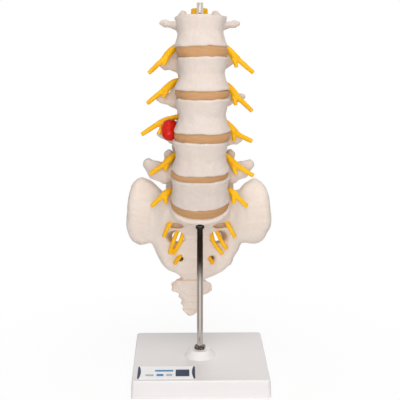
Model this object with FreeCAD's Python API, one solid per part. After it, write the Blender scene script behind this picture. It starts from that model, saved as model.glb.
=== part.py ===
import FreeCAD, Part
import math
import os

# A desk model of the lower human back: five lumbar vertebrae on their discs, a
# sacrum and a coccyx, all threaded on one upright rod that stands in a square base.
# Yellow cords stand for the nerves, and a red bulb for a slipped disc.
#
# Frame, in millimetres: the origin is on the rod's axis, in the plane that the base
# rests on. +Z is up, +Y is towards the back of the body (the spinous processes), and
# +X is to the right of somebody who looks at the front of the spine.
#
# Every bone has a frame of its own on its top plate: x across, u backwards along the
# plate, and v square to the plate, upwards. Points of a bone are written in (x, u, v).

os.makedirs("parts", exist_ok=True)

# Base: a moulded shell, open underneath, with a raised boss round the rod
BASE_WIDTH = 120.6
BASE_DEPTH = 120.6
BASE_HEIGHT = 16.0
BASE_DRAFT = 0.8
BASE_CORNER_R = 3.0
BASE_EDGE_R = 1.2
BASE_WALL = 2.6
BOSS_FOOT_R = 14.5
BOSS_TOP_R = 9.5
BOSS_RISE = 6.5
UNDER_BOSS_R = 9.5
UNDER_BOSS_DROP = 4.5

# Label: a bare sticker near the front left corner of the base
LABEL_LENGTH = 50.0
LABEL_WIDTH = 28.0
LABEL_THICK = 0.3
LABEL_CORNER_R = 2.0
LABEL_FROM_FRONT = 4.5
LABEL_FROM_SIDE = 4.5

# Rod and its hardware
ROD_D = 5.5
ROD_CHAMFER = 0.6
ROD_FIT = 0.05
ROD_ABOVE_L1 = 11.5
ROD_ABOVE_TABLE = 1.4
NUT_ACROSS = 9.0
NUT_HEIGHT = 3.0
NUT_CHAMFER = 0.5
WASHER_R = 7.0
WASHER_THICK = 1.0
CLIP_R = 3.9
CLIP_HEIGHT = 2.0
CLIP_POCKET_FIT = 0.3
CLIP_SEAT_Z = 137.4
HOLE_MARGIN = 40.0          # a rod hole starts and ends this far outside its piece

# Sacrum: centre, slope and size of its top plate
PLATE_BACK = 10.0
PLATE_HEIGHT = 155.0
PLATE_TILT = 40.0
PLATE_WIDTH = 55.0
PLATE_DEPTH = 36.0

# Discs and vertebral bodies, from the sacrum up. A height is along the middle, and a
# tilt is that of the upper face in degrees, positive with the front edge down.
LEVELS = ["l5", "l4", "l3", "l2", "l1"]
DISC_OF = {"l5": "disc_l5_s1", "l4": "disc_l4_l5", "l3": "disc_l3_l4", "l2": "disc_l2_l3",
           "l1": "disc_l1_l2"}
DISC_HEIGHT = {"l5": 6.6, "l4": 4.2, "l3": 6.4, "l2": 6.0, "l1": 7.6}
DISC_TILT = {"l5": 28.0, "l4": 12.0, "l3": 2.0, "l2": -3.0, "l1": -9.0}
BODY_HEIGHT = {"l5": 26.0, "l4": 28.4, "l3": 29.4, "l2": 28.4, "l1": 26.4}
BODY_TILT = {"l5": 16.0, "l4": 5.0, "l3": 0.0, "l2": -6.0, "l1": -10.5}
TOP_WIDTH = {"l5": 53.0, "l4": 50.5, "l3": 48.0, "l2": 46.5, "l1": 45.5}
WAIST_WIDTH = {"l5": 49.0, "l4": 44.0, "l3": 41.0, "l2": 40.0, "l1": 39.0}
BOTTOM_WIDTH = {"l5": 53.0, "l4": 51.5, "l3": 50.0, "l2": 49.5, "l1": 47.0}
BODY_DEPTH = {"l5": 36.0, "l4": 36.0, "l3": 35.5, "l2": 34.5, "l1": 33.5}
WAIST_DEPTH_LOSS = 4.0
RIM_ROUND = 0.8
DISC_INSET = 1.1
DISC_SWELL = 0.6
PLATE_POINTS = 20
PLATE_HOLLOW = 0.16         # share of its depth by which a plate is hollowed at the back

# Arch and processes of a lumbar vertebra, in the frame of its top plate
CANAL_HALF_WIDTH = 11.5
CANAL_HALF_DEPTH = 8.8
CANAL_BACK = 24.0
CORD_HALF_WIDTH = 7.2
CORD_HALF_DEPTH = 5.6
CORD_ABOVE_L1 = 5.0
PEDICLE_X = {"l5": 18.5, "l4": 16.5, "l3": 15.5, "l2": 15.0, "l1": 14.5}
PEDICLE_HALF_WIDTH = {"l5": 6.0, "l4": 5.0, "l3": 4.5, "l2": 4.2, "l1": 4.0}
PEDICLE_HALF_HEIGHT = 7.0
PEDICLE_DROP = 9.0
PEDICLE_IN_BODY = 8.0
FACET_X = {"l5": 27.0, "l4": 23.0, "l3": 20.5, "l2": 20.0, "l1": 14.0}
FACET_BACK = 31.0
FACET_RISE = {"l5": 9.0, "l4": 9.0, "l3": 8.5, "l2": 8.5, "l1": 9.0}
FACET_HALF_WIDTH = 4.4
FACET_HANG_TOP = {"l5": 1.0, "l4": 9.0, "l3": 9.0, "l2": 9.0, "l1": 9.0}
FACET_HANG = {"l5": 9.5, "l4": 13.5, "l3": 13.5, "l2": 13.5, "l1": 13.5}
FACET_STEP_IN = 6.5
FACET_STEP_BACK = 7.2
LAMINA_DROP = 14.0
LAMINA_STEP_BACK = 9.5
LAMINA_HALF_HEIGHT = 9.0
LAMINA_HALF_DEPTH = 3.0
SPINE_REACH = {"l5": 58.0, "l4": 64.0, "l3": 67.0, "l2": 66.0, "l1": 64.0}
SPINE_HALF_HEIGHT = {"l5": 7.5, "l4": 9.5, "l3": 10.5, "l2": 10.5, "l1": 10.0}
SPINE_HALF_WIDTH = 3.0
SPINE_DROP = 18.5
SIDE_TIP_LEFT = {"l4": (-38.2, 32.0, -3.0), "l3": (-38.5, 31.5, -4.5), "l2": (-35.0, 33.0, -6.5),
                 "l1": (-35.0, 31.5, -1.5)}
SIDE_TIP_RIGHT = {"l4": (38.2, 31.5, -8.5), "l3": (40.5, 31.0, -3.0), "l2": (36.0, 32.5, -0.5),
                  "l1": (35.5, 31.5, -2.0)}
SIDE_ROOT_HALF_HEIGHT = {"l4": 4.4, "l3": 4.2, "l2": 4.0, "l1": 4.0}
SIDE_TIP_HALF_HEIGHT = {"l4": 2.6, "l3": 2.6, "l2": 2.4, "l1": 2.3}
SIDE_HALF_DEPTH = {"l4": 2.4, "l3": 2.4, "l2": 2.2, "l1": 2.2}

# The broad side processes of l5: place, half height and half depth, from root to tip
SIDE_L5_LEFT = [
    {"place": (-20.0, 26.0, -10.5), "half_height": 9.0, "half_depth": 6.5},
    {"place": (-30.5, 24.0, -12.0), "half_height": 8.6, "half_depth": 5.4},
    {"place": (-39.5, 26.7, -9.2), "half_height": 8.2, "half_depth": 4.6},
    {"place": (-46.0, 30.0, -4.6), "half_height": 5.6, "half_depth": 4.0},
    {"place": (-49.6, 31.0, -2.6), "half_height": 3.0, "half_depth": 2.2},
]
SIDE_L5_RIGHT = [
    {"place": (20.0, 26.0, -10.5), "half_height": 9.0, "half_depth": 6.5},
    {"place": (29.0, 24.0, -12.4), "half_height": 8.4, "half_depth": 5.4},
    {"place": (37.5, 26.5, -9.8), "half_height": 7.6, "half_depth": 4.6},
    {"place": (44.0, 29.5, -6.6), "half_height": 5.4, "half_depth": 4.0},
    {"place": (47.6, 30.5, -5.0), "half_height": 2.8, "half_depth": 2.2},
]

# Small lumps beside the upward facets of l2 and l3
LUMP_LEVELS = ["l2", "l3"]
LUMP_ROOT_X = 21.0
LUMP_TIP_X = 27.4
LUMP_DROP = 3.0
LUMP_HALF = 4.4

# Sacrum below its plate: for each level v, the half width of the middle part and its
# front (middle and side) and back (side and crest), all as distances u in its frame
SACRUM_SECTIONS = [
    {"v": -5.0, "half": 38.0, "front": -17.0, "shoulder": 2.0, "side": 14.0, "back": 38.0},
    {"v": -14.0, "half": 44.0, "front": -12.5, "shoulder": -2.0, "side": 12.0, "back": 39.0},
    {"v": -26.0, "half": 47.0, "front": -7.0, "shoulder": -3.5, "side": 6.5, "back": 38.0},
    {"v": -40.0, "half": 48.0, "front": -4.5, "shoulder": -5.5, "side": 1.0, "back": 33.0},
    {"v": -54.0, "half": 47.0, "front": -7.0, "shoulder": -9.0, "side": -3.5, "back": 24.0},
    {"v": -66.0, "half": 45.0, "front": -12.0, "shoulder": -14.0, "side": -11.0, "back": 12.0},
    {"v": -77.0, "half": 40.0, "front": -17.5, "shoulder": -19.0, "side": -15.5, "back": 2.0},
    {"v": -86.0, "half": 30.0, "front": -22.5, "shoulder": -23.0, "side": -19.5, "back": -6.0},
    {"v": -93.0, "half": 22.0, "front": -26.5, "shoulder": -26.0, "side": -22.5, "back": -13.0},
]
SACRUM_DRIFT = 0.045        # the model bends this much to the left for each mm down
WING_SECTIONS = [
    {"x": 30.0, "shrink": 0.86},
    {"x": 40.0, "shrink": 0.97},
    {"x": 52.0, "shrink": 1.0},
    {"x": 61.0, "shrink": 0.95},
    {"x": 66.0, "shrink": 0.80},
    {"x": 69.0, "shrink": 0.50},
]
WING_OUTLINE = [(33.0, -1.5), (22.5, -8.0), (12.5, -19.0), (4.5, -33.0), (-0.5, -46.0), (-4.0, -58.0),
                (-2.0, -65.5), (5.0, -67.0), (13.0, -58.0), (21.0, -44.0), (29.0, -28.0), (35.5, -10.0)]
WING_CENTRE = (13.0, -38.0)

# Outline of the sacrum from the front, as (x, z) at the depth OUTLINE_Y. The sides
# spread backwards a little, along lines from the point OUTLINE_EYE far in front.
OUTLINE_Y = 30.0
OUTLINE_EYE = (-15.7, -867.0, 357.5)
OUTLINE_FRONT_Y = -25.0
OUTLINE_BACK_Y = 90.0
SACRUM_OUTLINE = [
    (-30.0, 164.0), (-38.5, 170.0), (-45.5, 175.4), (-51.5, 176.6), (-57.5, 173.2), (-61.5, 166.6),
    (-64.2, 156.0), (-66.0, 144.0), (-66.9, 132.5), (-65.2, 122.8), (-61.4, 115.6), (-54.6, 111.4),
    (-48.6, 112.0), (-43.6, 110.4), (-39.6, 103.0), (-33.8, 92.0), (-29.0, 87.4), (-21.8, 84.0),
    (-17.2, 79.6), (-15.4, 74.0), (-5.0, 70.0), (4.6, 74.0), (8.0, 79.0), (14.2, 81.8), (21.6, 85.6),
    (29.6, 91.4), (32.6, 98.4), (37.2, 109.0), (43.4, 112.6), (51.2, 112.2), (58.0, 115.6), (62.8, 123.8),
    (66.0, 135.0), (64.8, 147.6), (63.6, 157.4), (60.2, 165.2), (54.6, 171.4), (48.6, 174.0), (41.0, 170.6),
    (31.0, 166.0), (29.0, 195.0), (-28.0, 195.0),
]
SACRAL_FACET_X = 24.0
SACRAL_FACET_RISE = 4.0
SACRAL_CANAL_HALF_WIDTH = 10.5
SACRAL_CANAL_HALF_DEPTH = 6.5
SACRAL_CANAL = [(26.0, 2.0), (24.0, -14.0), (20.0, -34.0), (11.0, -56.0), (-1.0, -74.0)]
CREST_HALF_WIDTH = 3.0

# Lip below the front edge of the sacrum's plate, and rows (v, narrower, shallower, lip)
PLATE_ROWS = [
    {"v": 0.0, "narrower": 1.6, "shallower": 1.6, "lip": 0.0},
    {"v": -2.0, "narrower": 0.0, "shallower": 0.0, "lip": 0.8},
    {"v": -5.5, "narrower": 2.0, "shallower": 2.0, "lip": 3.0},
    {"v": -10.0, "narrower": 4.5, "shallower": 6.0, "lip": 1.0},
    {"v": -22.0, "narrower": 12.0, "shallower": 16.0, "lip": 0.0},
]
CREST = [
    {"place": (0.0, 33.0, -8.0), "half_depth": 5.0},
    {"place": (0.0, 36.0, -20.0), "half_depth": 7.0},
    {"place": (-1.5, 32.0, -40.0), "half_depth": 6.5},
    {"place": (-2.5, 20.0, -60.0), "half_depth": 5.0},
    {"place": (-3.5, 6.0, -74.0), "half_depth": 3.0},
]

# Openings of the sacrum: where each one breaks through the front, and its half size.
# The first pair is blind, and the others come out at the back.
OPENINGS = [
    {"x": 20.8, "u": -7.0, "v": -24.0, "half_width": 7.2, "half_height": 3.2, "length": 12.0},
    {"x": 18.5, "u": -5.0, "v": -44.0, "half_width": 7.8, "half_height": 5.8, "length": 55.0},
    {"x": 15.0, "u": -13.5, "v": -67.5, "half_width": 4.2, "half_height": 3.6, "length": 55.0},
]
OPENING_SLOPE = 12.0
OPENING_MOUTH = 16.0
OPENING_NECK = 12.0
OPENING_INWARD = 3.0

# Coccyx: depth y and height z of each section, half width and half thickness
COCCYX_SECTIONS = [
    {"y": 53.2, "z": 72.0, "half": 9.5, "thick": 3.6},
    {"y": 52.6, "z": 68.2, "half": 15.0, "thick": 3.8},
    {"y": 52.0, "z": 64.2, "half": 16.8, "thick": 3.4},
    {"y": 51.4, "z": 60.4, "half": 14.0, "thick": 3.0},
    {"y": 50.8, "z": 57.4, "half": 8.6, "thick": 2.8},
    {"y": 50.0, "z": 54.6, "half": 9.2, "thick": 3.2},
    {"y": 49.0, "z": 51.6, "half": 7.2, "thick": 2.6},
    {"y": 47.8, "z": 48.6, "half": 7.8, "thick": 3.0},
    {"y": 46.2, "z": 45.4, "half": 5.6, "thick": 2.4},
    {"y": 45.0, "z": 42.8, "half": 5.8, "thick": 2.6},
    {"y": 43.6, "z": 40.6, "half": 3.4, "thick": 2.0},
    {"y": 42.6, "z": 38.8, "half": 1.4, "thick": 1.0},
]
COCCYX_X = -7.0
COCCYX_LEAN = 0.04

# Number of flat sides that a bony process has here
LIMB_SIDES = 8

# Nerves: routes chosen by hand, in the frame of the bone that each one leaves under.
# Each starts inside the cord's sac; the ganglion is the swelling outside the opening.
NERVE_R = 2.0
NERVE_TIP_R = 1.7
GANGLION_R = 3.0
STUB_R = 1.6
NERVE_BORE_FIT = 0.15
LUMBAR_ROUTES = {
    ("l1", "left"): {
        "root": [(-4.0, 24.0, -13.5), (-12.0, 24.0, -19.0), (-17.0, 23.0, -20.5), (-21.7, 20.5, -23.4)],
        "ganglion": (-26.5, 20.0, -29.0),
        "branch": [(-31.5, 20.5, -34.0), (-38.0, 22.0, -40.0), (-44.3, 23.6, -45.9)],
        "stub": (-31.4, 19.5, -39.5)},
    ("l1", "right"): {
        "root": [(4.0, 24.0, -13.5), (12.0, 24.0, -19.0), (18.0, 23.0, -20.5), (23.5, 20.5, -24.0)],
        "ganglion": (28.5, 20.0, -30.5),
        "branch": [(34.0, 20.5, -35.0), (40.0, 22.0, -40.0), (46.8, 23.6, -45.6)],
        "stub": (32.0, 19.5, -41.3)},
    ("l2", "left"): {
        "root": [(-4.0, 24.0, -13.5), (-12.0, 24.0, -19.0), (-17.0, 23.0, -19.5), (-22.0, 20.5, -20.5)],
        "ganglion": (-27.0, 20.5, -25.5),
        "branch": [(-33.0, 21.5, -29.5), (-39.5, 23.5, -34.5), (-45.9, 24.9, -39.8)],
        "stub": (-31.6, 21.0, -34.7)},
    ("l2", "right"): {
        "root": [(4.0, 24.0, -13.5), (12.0, 24.0, -19.0), (18.0, 23.0, -21.0), (24.0, 20.5, -23.5)],
        "ganglion": (28.5, 21.0, -29.5),
        "branch": [(33.5, 22.0, -35.0), (39.5, 24.0, -40.5), (46.0, 25.7, -46.7)],
        "stub": (31.5, 21.5, -41.5)},
    ("l3", "left"): {
        "root": [(-4.0, 24.0, -13.5), (-12.0, 24.0, -19.0), (-17.0, 23.5, -19.0), (-23.0, 22.0, -18.6)],
        "ganglion": (-31.0, 22.0, -22.5),
        "branch": [(-38.0, 22.0, -26.5), (-44.5, 22.5, -31.0), (-51.2, 23.0, -35.3)],
        "stub": (-36.0, 21.5, -34.6)},
    ("l3", "right"): {
        "root": [(4.0, 24.0, -13.5), (12.0, 24.0, -19.0), (18.0, 23.0, -20.5), (24.5, 20.5, -25.0)],
        "ganglion": (29.5, 20.0, -32.0),
        "branch": [(34.0, 21.0, -35.5), (40.0, 22.0, -38.5), (46.3, 23.0, -41.6)],
        "stub": (30.2, 19.5, -41.0)},
    ("l4", "left"): {
        "root": [(-4.0, 24.0, -13.5), (-12.0, 24.0, -19.0), (-18.0, 22.5, -19.5), (-23.5, 20.0, -20.0)],
        "ganglion": (-27.5, 19.0, -24.5),
        "branch": [(-32.5, 18.5, -28.5), (-38.0, 18.8, -32.5), (-44.1, 19.1, -37.1)],
        "stub": (-30.5, 18.0, -33.2)},
    ("l4", "right"): {
        "root": [(4.0, 24.0, -13.5), (12.0, 24.0, -19.0), (18.0, 22.5, -19.5), (24.0, 20.0, -20.5)],
        "ganglion": (28.5, 19.0, -26.0),
        "branch": [(34.5, 18.5, -30.0), (41.0, 18.8, -34.5), (47.9, 19.0, -38.8)],
        "stub": (32.4, 17.5, -36.8)},
    ("l5", "left"): {
        "root": [(-4.0, 24.0, -13.5), (-11.0, 23.0, -20.5), (-18.0, 18.5, -23.2), (-25.5, 13.5, -22.8)],
        "ganglion": (-30.5, 9.0, -23.5),
        "branch": [(-34.0, 8.0, -26.5), (-38.5, 7.8, -31.0), (-43.3, 7.7, -36.0)],
        "stub": (-30.2, 5.0, -31.5)},
    ("l5", "right"): {
        "root": [(4.0, 24.0, -13.5), (11.0, 23.0, -20.5), (18.0, 18.5, -23.2), (25.5, 13.5, -22.8)],
        "ganglion": (30.5, 9.0, -23.5),
        "branch": [(33.5, 8.0, -27.0), (38.0, 7.8, -31.5), (42.6, 7.6, -36.4)],
        "stub": (30.2, 5.0, -32.0)},
}
SACRAL_NERVE_R = 1.8
SACRAL_TIP_R = 1.4
SACRAL_ROUTES = {
    ("s1", "left"): [[(-3.0, 22.0, -13.0), (-13.0, 15.0, -17.0), (-21.0, 5.0, -21.0), (-27.0, -4.0, -25.0),
                      (-30.5, -8.5, -28.5), (-32.5, -11.5, -34.5)]],
    ("s1", "right"): [[(3.0, 22.0, -13.0), (12.0, 15.0, -17.0), (20.0, 5.0, -21.0), (25.5, -4.0, -25.0),
                       (29.0, -8.5, -28.5), (32.5, -11.5, -35.5)]],
    ("s2", "left"): [[(-2.5, 18.0, -33.0), (-12.0, 11.0, -37.0), (-20.0, 1.0, -41.0), (-24.5, -9.0, -48.0),
                      (-27.6, -13.5, -58.0)],
                     [(-12.0, 11.0, -37.0), (-14.5, -1.0, -45.0), (-19.5, -10.5, -50.5), (-24.4, -14.0, -58.5)]],
    ("s2", "right"): [[(0.0, 18.0, -33.0), (9.5, 11.0, -38.0), (16.5, 0.0, -43.0), (21.5, -9.5, -47.5),
                       (25.4, -13.5, -52.0)],
                      [(9.5, 11.0, -38.0), (10.7, -2.0, -46.0), (15.5, -11.0, -51.5), (21.8, -14.0, -58.5)]],
    ("s3", "left"): [[(-2.5, 12.0, -53.0), (-9.0, 4.0, -60.0), (-14.5, -5.0, -64.0), (-18.5, -13.5, -65.5),
                      (-23.5, -19.5, -66.5)]],
    ("s3", "right"): [[(-1.5, 12.0, -53.0), (3.5, 4.0, -61.0), (7.5, -5.0, -66.0), (9.8, -13.0, -68.0),
                       (13.0, -18.0, -69.0)]],
}

# Slipped disc: centre in the world, and half sizes
PROLAPSE_X = -26.4
PROLAPSE_Y = 3.5
PROLAPSE_Z = 222.5
PROLAPSE_HALF_X = 6.8
PROLAPSE_HALF_Y = 7.5
PROLAPSE_HALF_Z = 9.4


def turned(frame, x, u, v):
    """World point of (x, u, v) in a plate's frame (centre y, centre z, tilt)."""
    centre_y, centre_z, tilt = frame
    angle = math.radians(tilt)
    y = centre_y + u * math.cos(angle) - v * math.sin(angle)
    z = centre_z + u * math.sin(angle) + v * math.cos(angle)
    return FreeCAD.Vector(x, y, z)


def stepped(frame, height, tilt):
    """The frame at the far side of a slice that bends evenly from one tilt to another."""
    centre_y, centre_z, start = frame
    mean = math.radians((start + tilt) / 2.0)
    return (centre_y - height * math.sin(mean), centre_z + height * math.cos(mean), tilt)


def between(frame, height, tilt, share):
    """The frame part of the way up such a slice."""
    return stepped(frame, height * share, frame[2] + (tilt - frame[2]) * share)


def closed_wire(points):
    """A smooth closed wire through the points."""
    curve = Part.BSplineCurve()
    curve.interpolate(Points=points, PeriodicFlag=True)
    return Part.Wire(curve.toShape())


def skinned(wires):
    """A solid through smooth closed wires, one after the other."""
    return Part.makeLoft(wires, True, False)


def plate_points(frame, width, depth, v, lip):
    """Kidney outline of a vertebral plate: a wide oval, hollowed a little at the back."""
    points = []
    for index in range(PLATE_POINTS):
        angle = 2.0 * math.pi * (index + 0.5) / PLATE_POINTS
        across = math.cos(angle)
        along = math.sin(angle)
        x = width / 2.0 * math.copysign(abs(across) ** 0.85, across)
        u = depth / 2.0 * math.copysign(abs(along) ** 0.92, along)
        if u > 0.0:
            u = u * (1.0 - PLATE_HOLLOW * math.exp(-(4.0 * x / width) ** 2))
        else:
            u = u - lip * abs(along)
        points.append(turned(frame, x, u, v))
    return points


def facet_wire(centre, first, second, half_first, half_second):
    """An oval of flat sides about a centre, along two directions square to each other."""
    points = []
    for index in range(LIMB_SIDES + 1):
        angle = 2.0 * math.pi * (index % LIMB_SIDES + 0.5) / LIMB_SIDES
        offset = first * (half_first * math.cos(angle)) + second * (half_second * math.sin(angle))
        points.append(centre + offset)
    return Part.makePolygon(points)


def limb(stations, side):
    """A solid along stations (point, half size to the side, half size across it)."""
    side_way = FreeCAD.Vector(*side)
    wires = []
    last = len(stations) - 1
    for index, (point, half_side, half_other) in enumerate(stations):
        before = stations[max(index - 1, 0)][0]
        after = stations[min(index + 1, last)][0]
        along = (after - before).normalize()
        first = (side_way - along * side_way.dot(along)).normalize()
        second = along.cross(first)
        wires.append(facet_wire(point, first, second, half_side, half_other))
    return Part.makeLoft(wires, True, True)


def fused(shapes):
    """One clean solid out of several that overlap."""
    whole = shapes[0].fuse(shapes[1:])
    return whole.removeSplitter()


def rod_hole(lowest, highest):
    """The hole that the rod passes through."""
    start = FreeCAD.Vector(0, 0, lowest)
    return Part.makeCylinder(ROD_D / 2.0 + ROD_FIT, highest - lowest, start)


def largest_solid(shape):
    """The main solid of a shape, without slivers that a cut left behind."""
    return max(shape.Solids, key=lambda solid: solid.Volume)


def export(shape, node):
    """Write one node."""
    shape.exportStep("parts/" + node + ".step")


# The stack of frames, from the sacrum's plate up to the plate of l1
SACRUM_FRAME = (PLATE_BACK, PLATE_HEIGHT, PLATE_TILT)
LOWER_FRAME = {}
UPPER_FRAME = {}
DISC_FRAME = {}
frame_below = SACRUM_FRAME
for level in LEVELS:
    DISC_FRAME[level] = frame_below
    LOWER_FRAME[level] = stepped(frame_below, DISC_HEIGHT[level], DISC_TILT[level])
    UPPER_FRAME[level] = stepped(LOWER_FRAME[level], BODY_HEIGHT[level], BODY_TILT[level])
    frame_below = UPPER_FRAME[level]
NEXT_DOWN = {"l1": "l2", "l2": "l3", "l3": "l4", "l4": "l5"}
ROD_TOP = UPPER_FRAME["l1"][1] + ROD_ABOVE_L1


def make_body(level):
    """The drum of a vertebra: flat plates, flared rims and a waist."""
    lower = LOWER_FRAME[level]
    height = BODY_HEIGHT[level]
    rows = [
        (0.0, BOTTOM_WIDTH[level] - 2.0 * RIM_ROUND, 2.0 * RIM_ROUND),
        (0.07, BOTTOM_WIDTH[level], 0.0),
        (0.28, (BOTTOM_WIDTH[level] + 2.0 * WAIST_WIDTH[level]) / 3.0, 0.75 * WAIST_DEPTH_LOSS),
        (0.5, WAIST_WIDTH[level], WAIST_DEPTH_LOSS),
        (0.72, (TOP_WIDTH[level] + 2.0 * WAIST_WIDTH[level]) / 3.0, 0.75 * WAIST_DEPTH_LOSS),
        (0.93, TOP_WIDTH[level], 0.0),
        (1.0, TOP_WIDTH[level] - 2.0 * RIM_ROUND, 2.0 * RIM_ROUND),
    ]
    wires = []
    for share, width, depth_loss in rows:
        frame = between(lower, height, BODY_TILT[level], share)
        wires.append(closed_wire(plate_points(frame, width, BODY_DEPTH[level] - depth_loss, 0.0, 0.0)))
    return skinned(wires)


def make_disc(level):
    """A rubber disc between two plates, swollen at mid height."""
    lower = DISC_FRAME[level]
    height = DISC_HEIGHT[level]
    if level == "l5":
        width_below = PLATE_WIDTH
        depth_below = PLATE_DEPTH
    else:
        under = LEVELS[LEVELS.index(level) - 1]
        width_below = TOP_WIDTH[under]
        depth_below = BODY_DEPTH[under]
    wires = []
    for share in (0.0, 0.5, 1.0):
        frame = between(lower, height, DISC_TILT[level], share)
        width = width_below + (BOTTOM_WIDTH[level] - width_below) * share - 2.0 * (RIM_ROUND + DISC_INSET)
        depth = depth_below + (BODY_DEPTH[level] - depth_below) * share - 2.0 * (RIM_ROUND + DISC_INSET)
        swell = 2.0 * DISC_SWELL * (1.0 - abs(2.0 * share - 1.0))
        wires.append(closed_wire(plate_points(frame, width + swell, depth + swell, 0.0, 0.0)))
    disc = skinned(wires)
    return disc.cut(rod_hole(lower[1] - HOLE_MARGIN, lower[1] + HOLE_MARGIN))


def facet_below(level, side):
    """Frame and place of the upward facet that a vertebra's downward facet lies behind."""
    if level == "l5":
        return SACRUM_FRAME, side * SACRAL_FACET_X
    under = NEXT_DOWN[level]
    return UPPER_FRAME[under], side * FACET_X[under]


def upward_facet(frame, x, rise, root_x):
    """An upward articular process, flat towards the middle of the back."""
    stations = [
        (turned(frame, root_x, FACET_BACK - 3.5, -PEDICLE_DROP), FACET_HALF_WIDTH, 5.0),
        (turned(frame, x, FACET_BACK - 1.0, -2.0), FACET_HALF_WIDTH, 4.2),
        (turned(frame, x, FACET_BACK, rise - 4.0), FACET_HALF_WIDTH, 3.4),
        (turned(frame, x, FACET_BACK + 0.4, rise), FACET_HALF_WIDTH * 0.55, 1.6),
    ]
    return limb(stations, (1, 0, 0))


def hanging_facet(level, side):
    """A downward articular process, which lies behind the upward one of the bone below."""
    frame = UPPER_FRAME[level]
    pedicle_x = side * PEDICLE_X[level]
    under, below_x = facet_below(level, side)
    x = below_x - side * FACET_STEP_IN
    back = FACET_BACK + FACET_STEP_BACK
    top = FACET_HANG_TOP[level]
    end = top - FACET_HANG[level]
    return limb([
        (turned(frame, pedicle_x, FACET_BACK - 2.0, -6.0), 4.6, 4.6),
        (turned(frame, pedicle_x - side, FACET_BACK + 3.0, -LAMINA_DROP + 1.0), 4.2, 3.4),
        (turned(under, x, back, top), 4.0, 3.3),
        (turned(under, x, back, end + 4.0), 3.6, 2.8),
        (turned(under, x, back, end), 1.8, 1.4),
    ], (1, 0, 0))


def side_process(level, side):
    """A process that stands out to the side: a thin blade, broad and short on l5."""
    frame = UPPER_FRAME[level]
    if level == "l5":
        rows = SIDE_L5_LEFT if side < 0.0 else SIDE_L5_RIGHT
        stations = [(turned(frame, *row["place"]), row["half_height"], row["half_depth"]) for row in rows]
        return limb(stations, (0, 0, 1))
    tip_x, tip_u, tip_v = SIDE_TIP_LEFT[level] if side < 0.0 else SIDE_TIP_RIGHT[level]
    root_x = side * PEDICLE_X[level]
    reach = tip_x - root_x
    root_half = SIDE_ROOT_HALF_HEIGHT[level]
    tip_half = SIDE_TIP_HALF_HEIGHT[level]
    thick = SIDE_HALF_DEPTH[level]
    return limb([
        (turned(frame, root_x, FACET_BACK - 5.5, -PEDICLE_DROP), root_half + 1.4, thick + 1.8),
        (turned(frame, root_x + reach * 0.35, FACET_BACK - 2.5, -7.8), root_half, thick + 0.6),
        (turned(frame, tip_x - reach * 0.25, tip_u - 0.6, tip_v - 0.6), tip_half + 0.5, thick),
        (turned(frame, tip_x - reach * 0.07, tip_u, tip_v), tip_half, thick * 0.9),
        (turned(frame, tip_x, tip_u, tip_v), tip_half * 0.5, thick * 0.5),
    ], (0, 0, 1))


def make_arch(level):
    """Pedicles, laminae, facets and processes of a vertebra, before the canal is cut."""
    frame = UPPER_FRAME[level]
    body_back = BODY_DEPTH[level] / 2.0
    half_width = PEDICLE_HALF_WIDTH[level]
    half_height = PEDICLE_HALF_HEIGHT
    lamina_half = LAMINA_HALF_HEIGHT
    pieces = []
    for side in (-1.0, 1.0):
        pedicle_x = side * PEDICLE_X[level]
        pieces.append(limb([
            (turned(frame, pedicle_x, body_back - PEDICLE_IN_BODY, -PEDICLE_DROP), half_width, half_height),
            (turned(frame, pedicle_x, body_back + 3.0, -PEDICLE_DROP), half_width, half_height - 0.5),
            (turned(frame, pedicle_x, FACET_BACK, -PEDICLE_DROP), half_width + 0.8, half_height + 1.0),
        ], (1, 0, 0)))
        pieces.append(upward_facet(frame, side * FACET_X[level], FACET_RISE[level], pedicle_x))
        pieces.append(hanging_facet(level, side))
        pieces.append(limb([
            (turned(frame, pedicle_x, FACET_BACK + 1.0, 3.0 - LAMINA_DROP), lamina_half - 1.0, 3.2),
            (turned(frame, pedicle_x * 0.5, FACET_BACK + 6.5, 1.0 - LAMINA_DROP), lamina_half - 0.4, 2.8),
            (turned(frame, 0.0, FACET_BACK + LAMINA_STEP_BACK, -LAMINA_DROP), lamina_half, LAMINA_HALF_DEPTH),
        ], (0, 0, 1)))
        pieces.append(side_process(level, side))
        if level in LUMP_LEVELS:
            pieces.append(limb([
                (turned(frame, side * LUMP_ROOT_X, FACET_BACK + 1.0, -LUMP_DROP - 1.0), LUMP_HALF, LUMP_HALF),
                (turned(frame, side * (LUMP_TIP_X - 3.0), FACET_BACK + 0.6, -LUMP_DROP), 3.8, 3.8),
                (turned(frame, side * LUMP_TIP_X, FACET_BACK + 0.6, -LUMP_DROP), 1.8, 1.8),
            ], (0, 0, 1)))
    reach = SPINE_REACH[level]
    half_spine = SPINE_HALF_HEIGHT[level]
    pieces.append(limb([
        (turned(frame, 0.0, FACET_BACK + 8.0, -LAMINA_DROP), half_spine - 1.0, SPINE_HALF_WIDTH + 1.0),
        (turned(frame, 0.0, FACET_BACK + 16.0, -SPINE_DROP + 3.0), half_spine - 0.5, SPINE_HALF_WIDTH),
        (turned(frame, 0.0, reach - 7.0, -SPINE_DROP + 0.5), half_spine, SPINE_HALF_WIDTH),
        (turned(frame, 0.0, reach - 1.6, -SPINE_DROP), half_spine * 0.92, SPINE_HALF_WIDTH + 0.4),
        (turned(frame, 0.0, reach, -SPINE_DROP), half_spine * 0.7, SPINE_HALF_WIDTH * 0.6),
    ], (0, 0, 1)))
    return pieces


def canal_stations():
    """Places down the middle of the canal, from above l1 to below l5."""
    places = []
    for level in reversed(LEVELS):
        places.append(turned(UPPER_FRAME[level], 0.0, CANAL_BACK, -4.0))
        places.append(turned(LOWER_FRAME[level], 0.0, CANAL_BACK, 3.0))
    return places


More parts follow.
